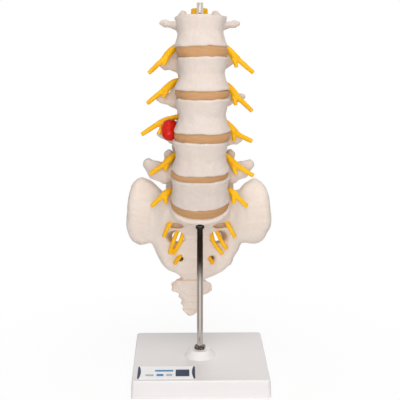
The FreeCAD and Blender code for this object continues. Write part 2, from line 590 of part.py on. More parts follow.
def make_canal():
    """The space that the spinal canal takes through all five vertebrae."""
    top = turned(UPPER_FRAME["l1"], 0.0, CANAL_BACK, 30.0)
    bottom = turned(SACRUM_FRAME, 0.0, CANAL_BACK, 1.0)
    places = [top] + canal_stations() + [bottom]
    return limb([(place, CANAL_HALF_WIDTH, CANAL_HALF_DEPTH) for place in places], (1, 0, 0))


def make_vertebra(level, canal):
    """One vertebra: body and arch in one casting, with the canal and the rod's hole."""
    arch = fused(make_arch(level))
    body = make_body(level)
    arch = arch.cut(canal)
    whole = fused([body, arch])
    lower = LOWER_FRAME[level]
    whole = whole.cut(rod_hole(lower[1] - HOLE_MARGIN, UPPER_FRAME[level][1] + HOLE_MARGIN))
    return largest_solid(whole)


def sacrum_middle():
    """The fused segments of the sacrum, without the side lobes."""
    wires = []
    for row in SACRUM_SECTIONS:
        middle = SACRUM_DRIFT * row["v"]
        half = row["half"]
        right = [
            (0.0, row["front"]),
            (half * 0.34, row["front"] * 0.75 + row["shoulder"] * 0.25),
            (half * 0.66, row["shoulder"]),
            (half * 0.9, row["side"]),
            (half, row["side"] * 0.6 + row["back"] * 0.4 - 1.0),
            (half * 0.88, row["side"] * 0.3 + row["back"] * 0.7 - 1.5),
            (half * 0.5, row["back"] - 3.5),
            (0.0, row["back"]),
        ]
        left = [(-x, u) for x, u in reversed(right[1:-1])]
        points = [turned(SACRUM_FRAME, middle + x, u, row["v"]) for x, u in right + left]
        wires.append(closed_wire(points))
    return skinned(wires)


def sacrum_wing(side):
    """A side lobe of the sacrum, shaped like an ear."""
    centre_u, centre_v = WING_CENTRE
    wires = []
    for row in WING_SECTIONS:
        points = []
        for u, v in WING_OUTLINE:
            near_u = centre_u + (u - centre_u) * row["shrink"]
            near_v = centre_v + (v - centre_v) * row["shrink"]
            points.append(turned(SACRUM_FRAME, side * row["x"], near_u, near_v))
        wires.append(closed_wire(points))
    return skinned(wires)


def front_block():
    """The space inside the sacrum's front outline, spreading a little to the back."""
    eye = FreeCAD.Vector(*OUTLINE_EYE)
    wires = []
    for y in (OUTLINE_FRONT_Y, OUTLINE_BACK_Y):
        spread = (y - eye.y) / (OUTLINE_Y - eye.y)
        points = [eye + (FreeCAD.Vector(x, OUTLINE_Y, z) - eye) * spread for x, z in SACRUM_OUTLINE]
        wires.append(Part.makePolygon(points + points[:1]))
    return Part.makeLoft(wires, True, True)


def opening(hole, side):
    """An oval opening that runs backwards and inwards from the front of the sacrum."""
    middle = SACRUM_DRIFT * hole["v"]
    start = turned(SACRUM_FRAME, middle + side * (hole["x"] + OPENING_INWARD / 2.0), hole["u"], hole["v"])
    slope = math.radians(OPENING_SLOPE)
    back_way = FreeCAD.Vector(0.0, math.cos(slope), -math.sin(slope))
    inward = FreeCAD.Vector(-side * OPENING_INWARD, 0.0, 0.0)
    width = hole["half_width"]
    height = hole["half_height"]
    stations = [
        (start - back_way * OPENING_MOUTH - inward * 0.5, width * 1.5, height * 1.5),
        (start, width, height),
        (start + back_way * OPENING_NECK + inward, width * 0.7, height * 0.8),
    ]
    if hole["length"] > OPENING_NECK:
        stations.append((start + back_way * hole["length"] + inward * 1.5, width * 0.7, height * 0.8))
    return limb(stations, (1, 0, 0))


def make_sacrum():
    """Plate, fused segments, side lobes, crest and facets, with canal and openings."""
    wires = []
    for row in PLATE_ROWS:
        width = PLATE_WIDTH - row["narrower"]
        depth = PLATE_DEPTH - row["shallower"]
        wires.append(closed_wire(plate_points(SACRUM_FRAME, width, depth, row["v"], row["lip"])))
    slab = fused([sacrum_middle(), sacrum_wing(-1.0), sacrum_wing(1.0)]).common(front_block())
    pieces = [largest_solid(slab), skinned(wires)]
    for side in (-1.0, 1.0):
        facet_x = side * SACRAL_FACET_X
        pieces.append(upward_facet(SACRUM_FRAME, facet_x, SACRAL_FACET_RISE, facet_x))
    pieces.append(limb([
        (turned(SACRUM_FRAME, *row["place"]), row["half_depth"], CREST_HALF_WIDTH) for row in CREST
    ], (0, 1, 0)))
    whole = pieces[0].fuse(pieces[1:])
    canal = limb([
        (turned(SACRUM_FRAME, SACRUM_DRIFT * v, u, v), SACRAL_CANAL_HALF_WIDTH, SACRAL_CANAL_HALF_DEPTH)
        for u, v in [(26.0, 30.0)] + SACRAL_CANAL
    ], (1, 0, 0))
    whole = whole.cut(canal)
    for hole in OPENINGS:
        for side in (-1.0, 1.0):
            whole = whole.cut(opening(hole, side))
    for root, side in SACRAL_ROUTES:
        whole = whole.cut(sacral_nerve(root, side, NERVE_BORE_FIT))
    whole = whole.cut(rod_hole(0.0, PLATE_HEIGHT + HOLE_MARGIN))
    pocket = Part.makeCylinder(CLIP_R + CLIP_POCKET_FIT, CLIP_SEAT_Z, FreeCAD.Vector(0, 0, 0))
    whole = whole.cut(pocket)
    return largest_solid(whole)


def make_coccyx():
    """The tail bone: small segments that taper to a tip."""
    stations = []
    for row in COCCYX_SECTIONS:
        x = COCCYX_X + COCCYX_LEAN * (row["z"] - COCCYX_SECTIONS[0]["z"])
        stations.append((FreeCAD.Vector(x, row["y"], row["z"]), row["half"], row["thick"]))
    return limb(stations, (1, 0, 0))


def rounded_frame(width, depth, radius, z):
    """A rectangle with round corners, as a wire at height z."""
    half_w = width / 2.0
    half_d = depth / 2.0
    edges = []
    corners = [(half_w, half_d, 0.0), (-half_w, half_d, 90.0), (-half_w, -half_d, 180.0), (half_w, -half_d, 270.0)]
    ends = []
    for x, y, start in corners:
        centre = FreeCAD.Vector(x - math.copysign(radius, x), y - math.copysign(radius, y), z)
        circle = Part.Circle(centre, FreeCAD.Vector(0, 0, 1), radius)
        arc = Part.ArcOfCircle(circle, math.radians(start), math.radians(start + 90.0)).toShape()
        ends.append((arc.valueAt(arc.FirstParameter), arc.valueAt(arc.LastParameter)))
        edges.append(arc)
    for index in range(4):
        edges.append(Part.makeLine(ends[index][1], ends[(index + 1) % 4][0]))
    return Part.Wire(Part.__sortEdges__(edges))


def make_base():
    """The moulded base shell with its bosses above and below the top wall."""
    foot = rounded_frame(BASE_WIDTH, BASE_DEPTH, BASE_CORNER_R, 0.0)
    top_w = BASE_WIDTH - 2.0 * BASE_DRAFT
    top_d = BASE_DEPTH - 2.0 * BASE_DRAFT
    top = rounded_frame(top_w, top_d, BASE_CORNER_R, BASE_HEIGHT)
    outer = Part.makeLoft([foot, top], True, True)
    rim = [edge for edge in outer.Edges if all(abs(v.Point.z - BASE_HEIGHT) < 1e-6 for v in edge.Vertexes)]
    outer = outer.makeFillet(BASE_EDGE_R, rim)
    ceiling = BASE_HEIGHT - BASE_WALL
    inner_r = BASE_CORNER_R / 2.0
    inner_foot = rounded_frame(BASE_WIDTH - 2.0 * BASE_WALL, BASE_DEPTH - 2.0 * BASE_WALL, inner_r, 0.0)
    inner_top = rounded_frame(top_w - 2.0 * BASE_WALL, top_d - 2.0 * BASE_WALL, inner_r, ceiling)
    shell = outer.cut(Part.makeLoft([inner_foot, inner_top], True, True))
    boss = Part.makeCone(BOSS_FOOT_R, BOSS_TOP_R, BOSS_RISE, FreeCAD.Vector(0, 0, BASE_HEIGHT))
    under_top = ceiling + BASE_WALL / 2.0
    under_z = ceiling - UNDER_BOSS_DROP
    under = Part.makeCylinder(UNDER_BOSS_R, under_top - under_z, FreeCAD.Vector(0, 0, under_z))
    shell = fused([shell, boss, under])
    return shell.cut(rod_hole(0.0, BASE_HEIGHT + BOSS_RISE + HOLE_MARGIN))


def make_label():
    """The sticker on the base's top."""
    centre_x = -BASE_WIDTH / 2.0 + BASE_DRAFT + LABEL_FROM_SIDE + LABEL_LENGTH / 2.0
    centre_y = -BASE_DEPTH / 2.0 + BASE_DRAFT + LABEL_FROM_FRONT + LABEL_WIDTH / 2.0
    outline = rounded_frame(LABEL_LENGTH, LABEL_WIDTH, LABEL_CORNER_R, BASE_HEIGHT)
    outline.translate(FreeCAD.Vector(centre_x, centre_y, 0))
    return Part.Face(outline).extrude(FreeCAD.Vector(0, 0, LABEL_THICK))


def make_nut(z):
    """A plain hex nut with chamfered corners, its lower face at z."""
    corner = NUT_ACROSS / math.sqrt(3.0)
    points = []
    for index in range(7):
        angle = math.radians(60.0 * index + 15.0)
        points.append(FreeCAD.Vector(corner * math.cos(angle), corner * math.sin(angle), z))
    prism = Part.Face(Part.makePolygon(points)).extrude(FreeCAD.Vector(0, 0, NUT_HEIGHT))
    half = NUT_HEIGHT / 2.0
    inner_r = NUT_ACROSS / 2.0
    wide_r = inner_r + half * (corner - inner_r) / NUT_CHAMFER
    lower = Part.makeCone(inner_r, wide_r, half, FreeCAD.Vector(0, 0, z))
    upper = Part.makeCone(wide_r, inner_r, half, FreeCAD.Vector(0, 0, z + half))
    nut = prism.common(lower.fuse(upper))
    return largest_solid(nut.cut(rod_hole(z - 1.0, z + NUT_HEIGHT + 1.0)))


def make_rod():
    """The rod, chamfered at both ends."""
    length = ROD_TOP - ROD_ABOVE_TABLE
    rod = Part.makeCylinder(ROD_D / 2.0, length, FreeCAD.Vector(0, 0, ROD_ABOVE_TABLE))
    ends = [edge for edge in rod.Edges if edge.Closed]
    return rod.makeChamfer(ROD_CHAMFER, ends)


def make_cord():
    """The spinal cord's sac, from above l1 down into the sacrum."""
    stations = [
        (turned(UPPER_FRAME["l1"], 0.0, CANAL_BACK, CORD_ABOVE_L1), CORD_HALF_WIDTH - 1.0, CORD_HALF_DEPTH - 1.0),
        (turned(UPPER_FRAME["l1"], 0.0, CANAL_BACK, CORD_ABOVE_L1 - 2.0), CORD_HALF_WIDTH, CORD_HALF_DEPTH),
    ]
    stations.extend((place, CORD_HALF_WIDTH, CORD_HALF_DEPTH) for place in canal_stations())
    for u, v in SACRAL_CANAL[:3]:
        stations.append((turned(SACRUM_FRAME, 0.0, u - 1.0, v), CORD_HALF_WIDTH - 1.0, CORD_HALF_DEPTH - 0.8))
    end_u, end_v = SACRAL_CANAL[3]
    stations.append((turned(SACRUM_FRAME, -1.0, end_u, end_v), CORD_HALF_WIDTH - 3.0, CORD_HALF_DEPTH - 2.0))
    return limb(stations, (1, 0, 0))


def lumbar_nerve(level, side):
    """A lumbar root: out of the sac, round to its ganglion, and on as branch and stub."""
    frame = UPPER_FRAME[level]
    route = LUMBAR_ROUTES[(level, side)]
    ganglion = turned(frame, *route["ganglion"])
    stations = [(turned(frame, *point), NERVE_R, NERVE_R) for point in route["root"]]
    stations.append((ganglion, GANGLION_R, GANGLION_R))
    stations.extend((turned(frame, *point), NERVE_R, NERVE_R) for point in route["branch"][:-1])
    stations.append((turned(frame, *route["branch"][-1]), NERVE_TIP_R, NERVE_TIP_R))
    stub_end = turned(frame, *route["stub"])
    stub = limb([(ganglion, GANGLION_R * 0.8, GANGLION_R * 0.8),
                 (ganglion + (stub_end - ganglion) * 0.5, STUB_R + 0.2, STUB_R + 0.2),
                 (stub_end, STUB_R, STUB_R)], (0, 1, 0))
    return limb(stations, (0, 1, 0)).fuse(stub)


def sacral_nerve(root, side, grow):
    """A sacral root of one or two strands, thickened by grow where it is a bore."""
    shapes = []
    for route in SACRAL_ROUTES[(root, side)]:
        stations = []
        for index, point in enumerate(route):
            share = index / (len(route) - 1.0)
            radius = SACRAL_NERVE_R + (SACRAL_TIP_R - SACRAL_NERVE_R) * share + grow
            stations.append((turned(SACRUM_FRAME, *point), radius, radius))
        shapes.append(limb(stations, (1, 0, 0)))
    return shapes[0].fuse(shapes[1:]) if len(shapes) > 1 else shapes[0]


def make_prolapse(neighbours):
    """The red bulb, pressed flat where it meets the bones and the disc."""
    rows = [(-1.0, 0.25), (-0.88, 0.5), (-0.5, 0.87), (0.0, 1.0), (0.5, 0.87), (0.88, 0.5), (1.0, 0.25)]
    stations = []
    for height, share in rows:
        point = FreeCAD.Vector(PROLAPSE_X, PROLAPSE_Y, PROLAPSE_Z + PROLAPSE_HALF_Z * height)
        stations.append((point, PROLAPSE_HALF_X * share, PROLAPSE_HALF_Y * share))
    bulb = limb(stations, (1, 0, 0))
    for neighbour in neighbours:
        bulb = bulb.cut(neighbour)
    return largest_solid(bulb)


export(make_base(), "base_shell")
export(make_label(), "base_label")
nut_top = make_nut(BASE_HEIGHT + BOSS_RISE)
washer_top = BASE_HEIGHT - BASE_WALL - UNDER_BOSS_DROP
nut_under = make_nut(washer_top - WASHER_THICK - NUT_HEIGHT)
export(Part.makeCompound([nut_top, nut_under]), "rod_nuts")
washer = Part.makeCylinder(WASHER_R, WASHER_THICK, FreeCAD.Vector(0, 0, washer_top - WASHER_THICK))
export(washer.cut(rod_hole(0.0, BASE_HEIGHT)), "rod_washer")
export(make_rod(), "stand_rod")
clip = Part.makeCylinder(CLIP_R, CLIP_HEIGHT, FreeCAD.Vector(0, 0, CLIP_SEAT_Z - CLIP_HEIGHT))
export(clip.cut(rod_hole(0.0, PLATE_HEIGHT)), "rod_clip")
sacrum = make_sacrum()
export(sacrum, "sacrum")
export(largest_solid(make_coccyx().cut(sacrum)), "coccyx")
canal_space = make_canal()
cord = make_cord()
export(cord, "spinal_cord")
bones = {}
discs = {}
for level in LEVELS:
    discs[level] = make_disc(level)
    bones[level] = make_vertebra(level, canal_space)
    export(discs[level], DISC_OF[level])
    export(bones[level], "vertebra_" + level)
    for side in ("left", "right"):
        nerve = largest_solid(lumbar_nerve(level, side).cut(cord))
        export(nerve, "nerve_" + level + "_" + side)
for root in ("s1", "s2", "s3"):
    for side in ("left", "right"):
        nerve = largest_solid(sacral_nerve(root, side, 0.0).cut(cord))
        export(nerve, "nerve_" + root + "_" + side)
export(make_prolapse([bones["l3"], bones["l4"], discs["l3"]]), "prolapsed_nucleus")
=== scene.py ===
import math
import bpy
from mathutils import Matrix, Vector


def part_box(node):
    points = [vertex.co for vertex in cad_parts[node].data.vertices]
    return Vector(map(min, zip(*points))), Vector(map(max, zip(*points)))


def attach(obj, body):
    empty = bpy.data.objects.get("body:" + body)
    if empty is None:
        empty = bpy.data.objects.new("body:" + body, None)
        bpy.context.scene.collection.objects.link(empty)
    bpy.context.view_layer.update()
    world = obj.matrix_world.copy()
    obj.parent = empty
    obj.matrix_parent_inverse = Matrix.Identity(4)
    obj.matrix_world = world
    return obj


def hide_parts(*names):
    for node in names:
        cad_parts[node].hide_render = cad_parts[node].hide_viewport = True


bl_info = {
    "name": "Lower spine teaching model",
    "version": (1, 0, 0),
    "blender": (4, 5, 0),
    "location": "3D View > Sidebar > Spine",
    "description": "Bones, discs, nerves and stand of a desk model of the lower spine",
    "category": "Object",
}

from functools import partialmethod
from itertools import product

import bpy
import numpy as np
from mathutils import Vector

# Everything is worked out in millimetres in the model's own frame: the origin under the
# rod where the base rests, +Z up, +Y to the back of the body. Meshes are in metres.
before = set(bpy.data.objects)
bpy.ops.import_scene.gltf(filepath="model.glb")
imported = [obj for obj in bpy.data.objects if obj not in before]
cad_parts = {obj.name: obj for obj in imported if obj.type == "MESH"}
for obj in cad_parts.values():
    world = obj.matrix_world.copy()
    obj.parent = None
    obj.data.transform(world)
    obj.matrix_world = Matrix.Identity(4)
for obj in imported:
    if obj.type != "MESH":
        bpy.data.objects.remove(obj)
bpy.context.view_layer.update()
MM = 0.001

# Sacrum: centre, slope and size of its top plate
PLATE = (10, 155, 40)
PLATE_WIDTH = 55
PLATE_DEPTH = 36

# Levels from the sacrum up. A disc and the body on it bear the name of the body.
LEVELS = ["l5", "l4", "l3", "l2", "l1"]
NEXT_DOWN = dict(zip(LEVELS[1:], LEVELS))


def by_level(*values):
    """One value for each level, from l5 up."""
    return dict(zip(LEVELS, values))


# Discs and bodies: height along the middle, tilt of the upper face, and widths
DISC_HEIGHT = by_level(6.6, 4.2, 6.4, 6, 7.6)
DISC_TILT = by_level(28, 12, 2, -3, -9)
BODY_HEIGHT = by_level(26, 28.4, 29.4, 28.4, 26.4)
BODY_TILT = by_level(16, 5, 0, -6, -10.5)
TOP_WIDTH = by_level(53, 50.5, 48, 46.5, 45.5)
WAIST_WIDTH = by_level(49, 44, 41, 40, 39)
BOTTOM_WIDTH = by_level(53, 51.5, 50, 49.5, 47)
BODY_DEPTH = by_level(36, 36, 35.5, 34.5, 33.5)
WAIST_DEPTH_LOSS = 4
WAIST_POWER = 1.35
# How much further in a body's left side lies at its top
SLIM = by_level(0, 0.2, 0.3, 1.2, 0)
# How far the bodies, and the discs under them, sit to the right of the rod's axis
BODY_SHIFT = by_level(0.2, 0.3, 1.7, 1.3, 0.5)
DISC_SHIFT = by_level(0, -0.7, 1.9, 1.7, 1)
# The lowest disc bulges forwards by this much in the middle
L5_BULGE = 1.2
# Every casting's box is taken this much larger, and its hollows, which get painted shade, are felt for this
# far out
MARGIN = 1.5
HOLLOW_REACH = 2.6

# Arch and processes, in the frame of a bone's top plate (x across, u back, v up)
CANAL_HALF = (11.5, 8.8)
CANAL_BACK = 24
CORD_HALF = (7.2, 5.6)
CORD_ABOVE_L1 = 10.5
PEDICLE_X = by_level(18.5, 16.5, 15.5, 15, 14.5)
PEDICLE_HALF = by_level(6, 5, 4.5, 4.2, 4)
FACET_X = by_level(27, 23, 20.5, 20, 14)
FACET_BACK = 31
FACET_RISE = by_level(9, 9, 8.5, 8.5, 9)
FACET_HANG_TOP = by_level(1, 9, 9, 9, 9)
FACET_HANG = by_level(9.5, 13.5, 13.5, 13.5, 13.5)
FACET_STEP_IN = 6.5
FACET_STEP_BACK = 7.2
SPINE_REACH = by_level(58, 64, 67, 66, 64)
SPINE_HALF = by_level(7.5, 9.5, 10.5, 10.5, 10)
# Side processes of l4 to l1: left and right tip, half sizes and height of the root
SIDE_TIP = by_level(
    None, ((-38.2, 32, -3), (38.2, 31.5, -8.5)), ((-38.5, 31.5, -4.5), (40.5, 31, -3)),
    ((-35, 33, -6.5), (36, 32.5, -0.5)), ((-35, 31.5, -1.5), (35.5, 31.5, -2)))
SIDE_HALF = by_level(None, (4.4, 2.6, 2.4), (4.2, 2.6, 2.4), (4, 2.4, 2.2), (3, 2.2, 2.1))
SIDE_ROOT_V = by_level(None, -9, -9, -8, -5.6)
# The broad side processes of l5: (x, u, v), half height and half thickness
SIDE_L5 = (
    [((-20, 26, -10.5), 9, 6.5), ((-30.5, 24, -12), 8.6, 5.4), ((-39.5, 26.7, -9.2), 8.2, 4.6),
     ((-46.8, 30.2, -4), 5, 3.8)],
    [((20, 26, -10.5), 9, 6.5), ((29, 24, -12.4), 8.4, 5.4), ((38.3, 26.7, -8.8), 7.2, 4.4),
     ((45.9, 29.7, -4.6), 4.4, 3.4)],
)

# Sacrum: rows down its middle (v, half width, and u of front, shoulder, side and back)
SACRUM_ROWS = [
    (-5, 38, -17, 2, 12, 38),
    (-14, 44, -12.5, -0.5, 9.5, 39),
    (-26, 47, -7, -2, 4.5, 38),
    (-40, 48, -4.5, -4, -0.5, 33),
    (-54, 47, -7, -8, -4.5, 24),
    (-66, 45, -12, -14, -11, 12),
    (-77, 40, -17.5, -19, -15.5, 2),
    (-86, 30, -22.5, -23, -19.5, -6),
    (-93, 22, -26.5, -26, -22.5, -13),
]
# Front outline of the sacrum, x and z at the depth OUTLINE_Y. The solid widens towards the
# back as if it were cut by straight lines from the point EYE, where the camera stands.
OUTLINE_Y = 30
EYE = (-15.7, -867, 357.5)
SACRUM_OUTLINE = [
    (-30, 162.5), (-38.5, 168.2), (-45.5, 174.8), (-51, 178), (-57.2, 174.8), (-61.9, 167.2), (-64.8, 156),
    (-66, 144), (-66.9, 132.5), (-65.2, 122.8), (-61.4, 115.6), (-54.6, 111.4), (-48.6, 112.6),
    (-44.6, 113.4), (-42.6, 110), (-39.6, 103), (-37.6, 98.5), (-33.8, 92), (-29, 87.4), (-21.8, 84.6),
    (-16.8, 79.6), (-15.6, 76.4), (4, 76.4), (6.6, 78.4), (14.2, 81.8), (21.6, 85.6), (27.6, 90.2),
    (30.6, 92.2), (32, 98.4), (35.4, 104.2), (37.2, 109), (38.6, 112.8), (43.4, 113.2), (51.2, 112.2),
    (58, 115.6), (62.8, 123.8), (65.6, 130), (66, 138), (64.8, 147.6), (63.6, 157.4), (60.4, 165.8),
    (54.8, 172.4), (49, 175.4), (41.8, 170.8), (31, 162.6), (29, 195), (-28, 195),
]
DRIFT = 0.045
WING_OUTLINE = [(33, -1.5), (22.5, -8), (12.5, -19), (4.5, -33), (-0.5, -46), (-4, -58),
                (-2, -65.5), (5, -67), (13, -58), (21, -44), (29, -28), (35.5, -10)]
WING_FRONT = WING_OUTLINE[6::-1]
WING_LEAN = 2.2
SACRAL_FACET_X = 24
SACRAL_FACET_RISE = 4
SACRAL_CANAL_HALF = (10.5, 6.5)
SACRAL_CANAL = [(26, 2), (24, -14), (20, -34), (11, -56), (-1, -74)]
# Openings of the sacrum: x, u and v of the mouth, and half sizes. One pair comes out at the back.
HOLES = [
    (20.8, -7, -23.6, 7, 2.6),
    (18.5, -5, -44, 7.8, 5.8),
    (13.6, -13.5, -67, 2.7, 2.3),
]
OPEN_HOLE_V = -44
HOLE_SLOPE = math.radians(12)
# Shallow pits and knobs on the sacrum's back: x, v and half sizes
BACK_PITS = [(16.5, -22, 3.6, 3), (13.5, -61, 3, 2.6)]
BACK_KNOBS = [(11, -13, 2.8, 5), (11, -32, 2.8, 5), (9.5, -52, 2.6, 4.5),
              (27, -20, 3.4, 6), (25, -42, 3.2, 6)]
LIP_REACH = 3.6
CLIP_SEAT_Z = 137.4
CLIP_R = 3.9
ROD_R = 2.75
ROD_GAP = 0.05
CLIP_GAP = 0.3
# The coccyx: x of its top, and rows of y, z, half width and half thickness
COCCYX_X = -7
COCCYX_ROWS = [
    (53.2, 72, 10, 3.6), (52.6, 68.6, 15.6, 3.8), (52, 64.2, 16.6, 3.5), (51.4, 60.2, 15.6, 3.2),
    (50.9, 57.8, 8.4, 2.8), (50, 54.8, 9.6, 3.2), (49, 51.6, 7, 2.6), (47.8, 48.6, 8, 3),
    (46.2, 45.4, 5.6, 2.4), (45, 42.8, 5.8, 2.6), (43.6, 40.6, 3.4, 2),
]


def turned(plate, x, u, v):
    """World point of (x, u, v) in a plate's frame (centre y, centre z, tilt)."""
    angle = math.radians(plate[2])
    y = plate[0] + u * math.cos(angle) - v * math.sin(angle)
    z = plate[1] + u * math.sin(angle) + v * math.cos(angle)
    return np.array([x, y, z])


def stepped(plate, height, tilt):
    """The frame at the far side of a slice that bends evenly to another tilt."""
    mean = np.radians((plate[2] + tilt) / 2)
    return (plate[0] - height * np.sin(mean), plate[1] + height * np.cos(mean), tilt)


LOWER = {}
UPPER = {}
UNDER = {}
below = PLATE
for level in LEVELS:
    UNDER[level] = below
    LOWER[level] = stepped(below, DISC_HEIGHT[level], DISC_TILT[level])
    UPPER[level] = stepped(LOWER[level], BODY_HEIGHT[level], BODY_TILT[level])
    below = UPPER[level]


# Fields: each takes an array of points and returns about the distance to a surface,
# negative inside. They are joined softly, so one casting flows together like bone.

def soft_min(a, b, reach):
    """Union of two fields, rounded where they meet."""
    mix = np.clip(0.5 + 0.5 * (b - a) / reach, 0, 1)
    return b + (a - b) * mix - reach * mix * (1 - mix)


def soft_max(a, b, reach):
    """What two fields share, with a rounded edge."""
    return -soft_min(-a, -b, reach)


def joined(pieces, reach):
    """Union of several fields."""
    whole = pieces[0]
    for piece in pieces[1:]:
        whole = soft_min(whole, piece, reach)
    return whole


def bored(whole, points, reach):
    """A field with the rod's hole through it."""
    rod = np.hypot(points[:, 0], points[:, 1]) - (ROD_R + ROD_GAP)
    return soft_max(whole, -rod, reach)


def in_plate(plate, points):
    """Coordinates (x, u, v) of points in a plate's frame."""
    angle = math.radians(plate[2])
    y = points[:, 1] - plate[0]
    z = points[:, 2] - plate[1]
    return points[:, 0], y * math.cos(angle) + z * math.sin(angle), z * math.cos(angle) - y * math.sin(angle)


def limb(points, stations, side, join=1.2):
    """A tapering oval limb along stations (point, half size to the side, other half size)."""
    side = np.asarray(side, float)
    spans = []
    for (start, start_a, start_b), (end, end_a, end_b) in zip(stations[:-1], stations[1:]):
        run = np.asarray(end) - np.asarray(start)
        length = np.linalg.norm(run)
        run = run / length
        first = side - run * side.dot(run)
        first = first / np.linalg.norm(first)
        second = np.cross(run, first)
        offset = points - np.asarray(start)
        along = offset @ run
        share = np.clip(along / length, 0, 1)
        half_a = start_a + (end_a - start_a) * share
        half_b = start_b + (end_b - start_b) * share
        small = np.minimum(half_a, half_b)
        beyond = along - share * length
        across = (offset @ first / half_a) ** 2 + (offset @ second / half_b) ** 2
        spans.append((np.sqrt(across + (beyond / small) ** 2) - 1) * small)
    return joined(spans, join)


def ripple(points, size, seed):
    """A gentle unevenness about one unit high, with bumps of roughly the given size."""
    generator = np.random.default_rng(seed)
    total = np.zeros(len(points))
    for _ in range(6):
        way = generator.normal(size=3)
        way = way / np.linalg.norm(way) * (2 * math.pi / (size * generator.uniform(0.7, 1.5)))
        total += np.sin(points @ way + generator.uniform(0, 6.28))
    return total / 3


def kidney(x, u, width, depth):
    """Field of a plate's outline: a wide oval, hollowed a little at the back."""
    hollow = np.where(u > 0, 1 - 0.16 * np.exp(-(4 * x / width) ** 2), 1)
    a = width / 2
    b = depth / 2 * hollow
    ratio = (np.abs(x / a) ** 2.25 + np.abs(u / b) ** 2.25) ** (1 / 2.25)
    return (ratio - 1) * np.minimum(a, b)


def slice_places(points, lower, height, tilt):
    """Share of the way up a bent slice, and (x, u) there, for every point."""
    upper = stepped(lower, height, tilt)
    rise = in_plate(lower, points)[2]
    drop = -in_plate(upper, points)[2]
    share = np.clip(rise / np.maximum(rise + drop, 1e-6), -0.1, 1.1)
    at = stepped(lower, height * share, lower[2] + (tilt - lower[2]) * share)
    angle = np.radians(at[2])
    u = (points[:, 1] - at[0]) * np.cos(angle) + (points[:, 2] - at[1]) * np.sin(angle)
    return share, points[:, 0], u, rise, drop


def rim_wave(x, u, seed):
    """How far the lip of a plate strays from its plane, round the plate."""
    angle = np.arctan2(u, x)
    return 0.32 * np.sin(3 * angle + seed) + 0.22 * np.sin(7 * angle + 2.3 * seed) + 0.1 * np.sin(13 * angle)


def body_field(points, level):
    """The drum of a vertebra, with flared lips, a waist and slightly wavy rims."""
    share, x, u, rise, drop = slice_places(points, LOWER[level], BODY_HEIGHT[level], BODY_TILT[level])
    off_middle = np.abs(2 * share - 1)
    flare = off_middle ** WAIST_POWER
    lip = np.exp(-((off_middle - 0.9) / 0.13) ** 2)
    rim = BOTTOM_WIDTH[level] + (TOP_WIDTH[level] - BOTTOM_WIDTH[level]) * share
    width = WAIST_WIDTH[level] + (rim - WAIST_WIDTH[level]) * flare + 0.5 * lip
    x = x - BODY_SHIFT[level] - SLIM[level] * share
    width = width - 2 * SLIM[level] * share
    depth = BODY_DEPTH[level] - WAIST_DEPTH_LOSS * (1 - flare)
    side = kidney(x, u, width - 0.6, depth - 0.6)
    seed = LEVELS.index(level) * 1.7
    near_rim = 1 - np.clip(-side / 6, 0, 1)
    wave_low = rim_wave(x, u, seed + 0.9) * near_rim
    wave_high = rim_wave(x, u, seed) * near_rim
    dish = 0.9 * np.clip(-side / 7, 0, 1) if level == "l1" else 0
    whole = soft_max(side, -(rise + wave_low - 0.1), 2.2)
    return soft_max(whole, -(drop + wave_high - 0.1 - dish), 2.2)


def facet_up(points, plate, x, rise, root_x):
    """An upward articular process, which tapers to a rounded tip."""
    side = math.copysign(1, x)
    stations = [
        (turned(plate, root_x, FACET_BACK - 3.5, -9), 4.4, 5),
        (turned(plate, x, FACET_BACK - 1, -2), 4.2, 4.2),
        (turned(plate, x + side * 0.6, FACET_BACK, rise - 4.5), 3.9, 3.3),
        (turned(plate, x, FACET_BACK + 0.2, rise - 1.8), 2.3, 2),
    ]
    return limb(points, stations, (1, 0, 0), 2)


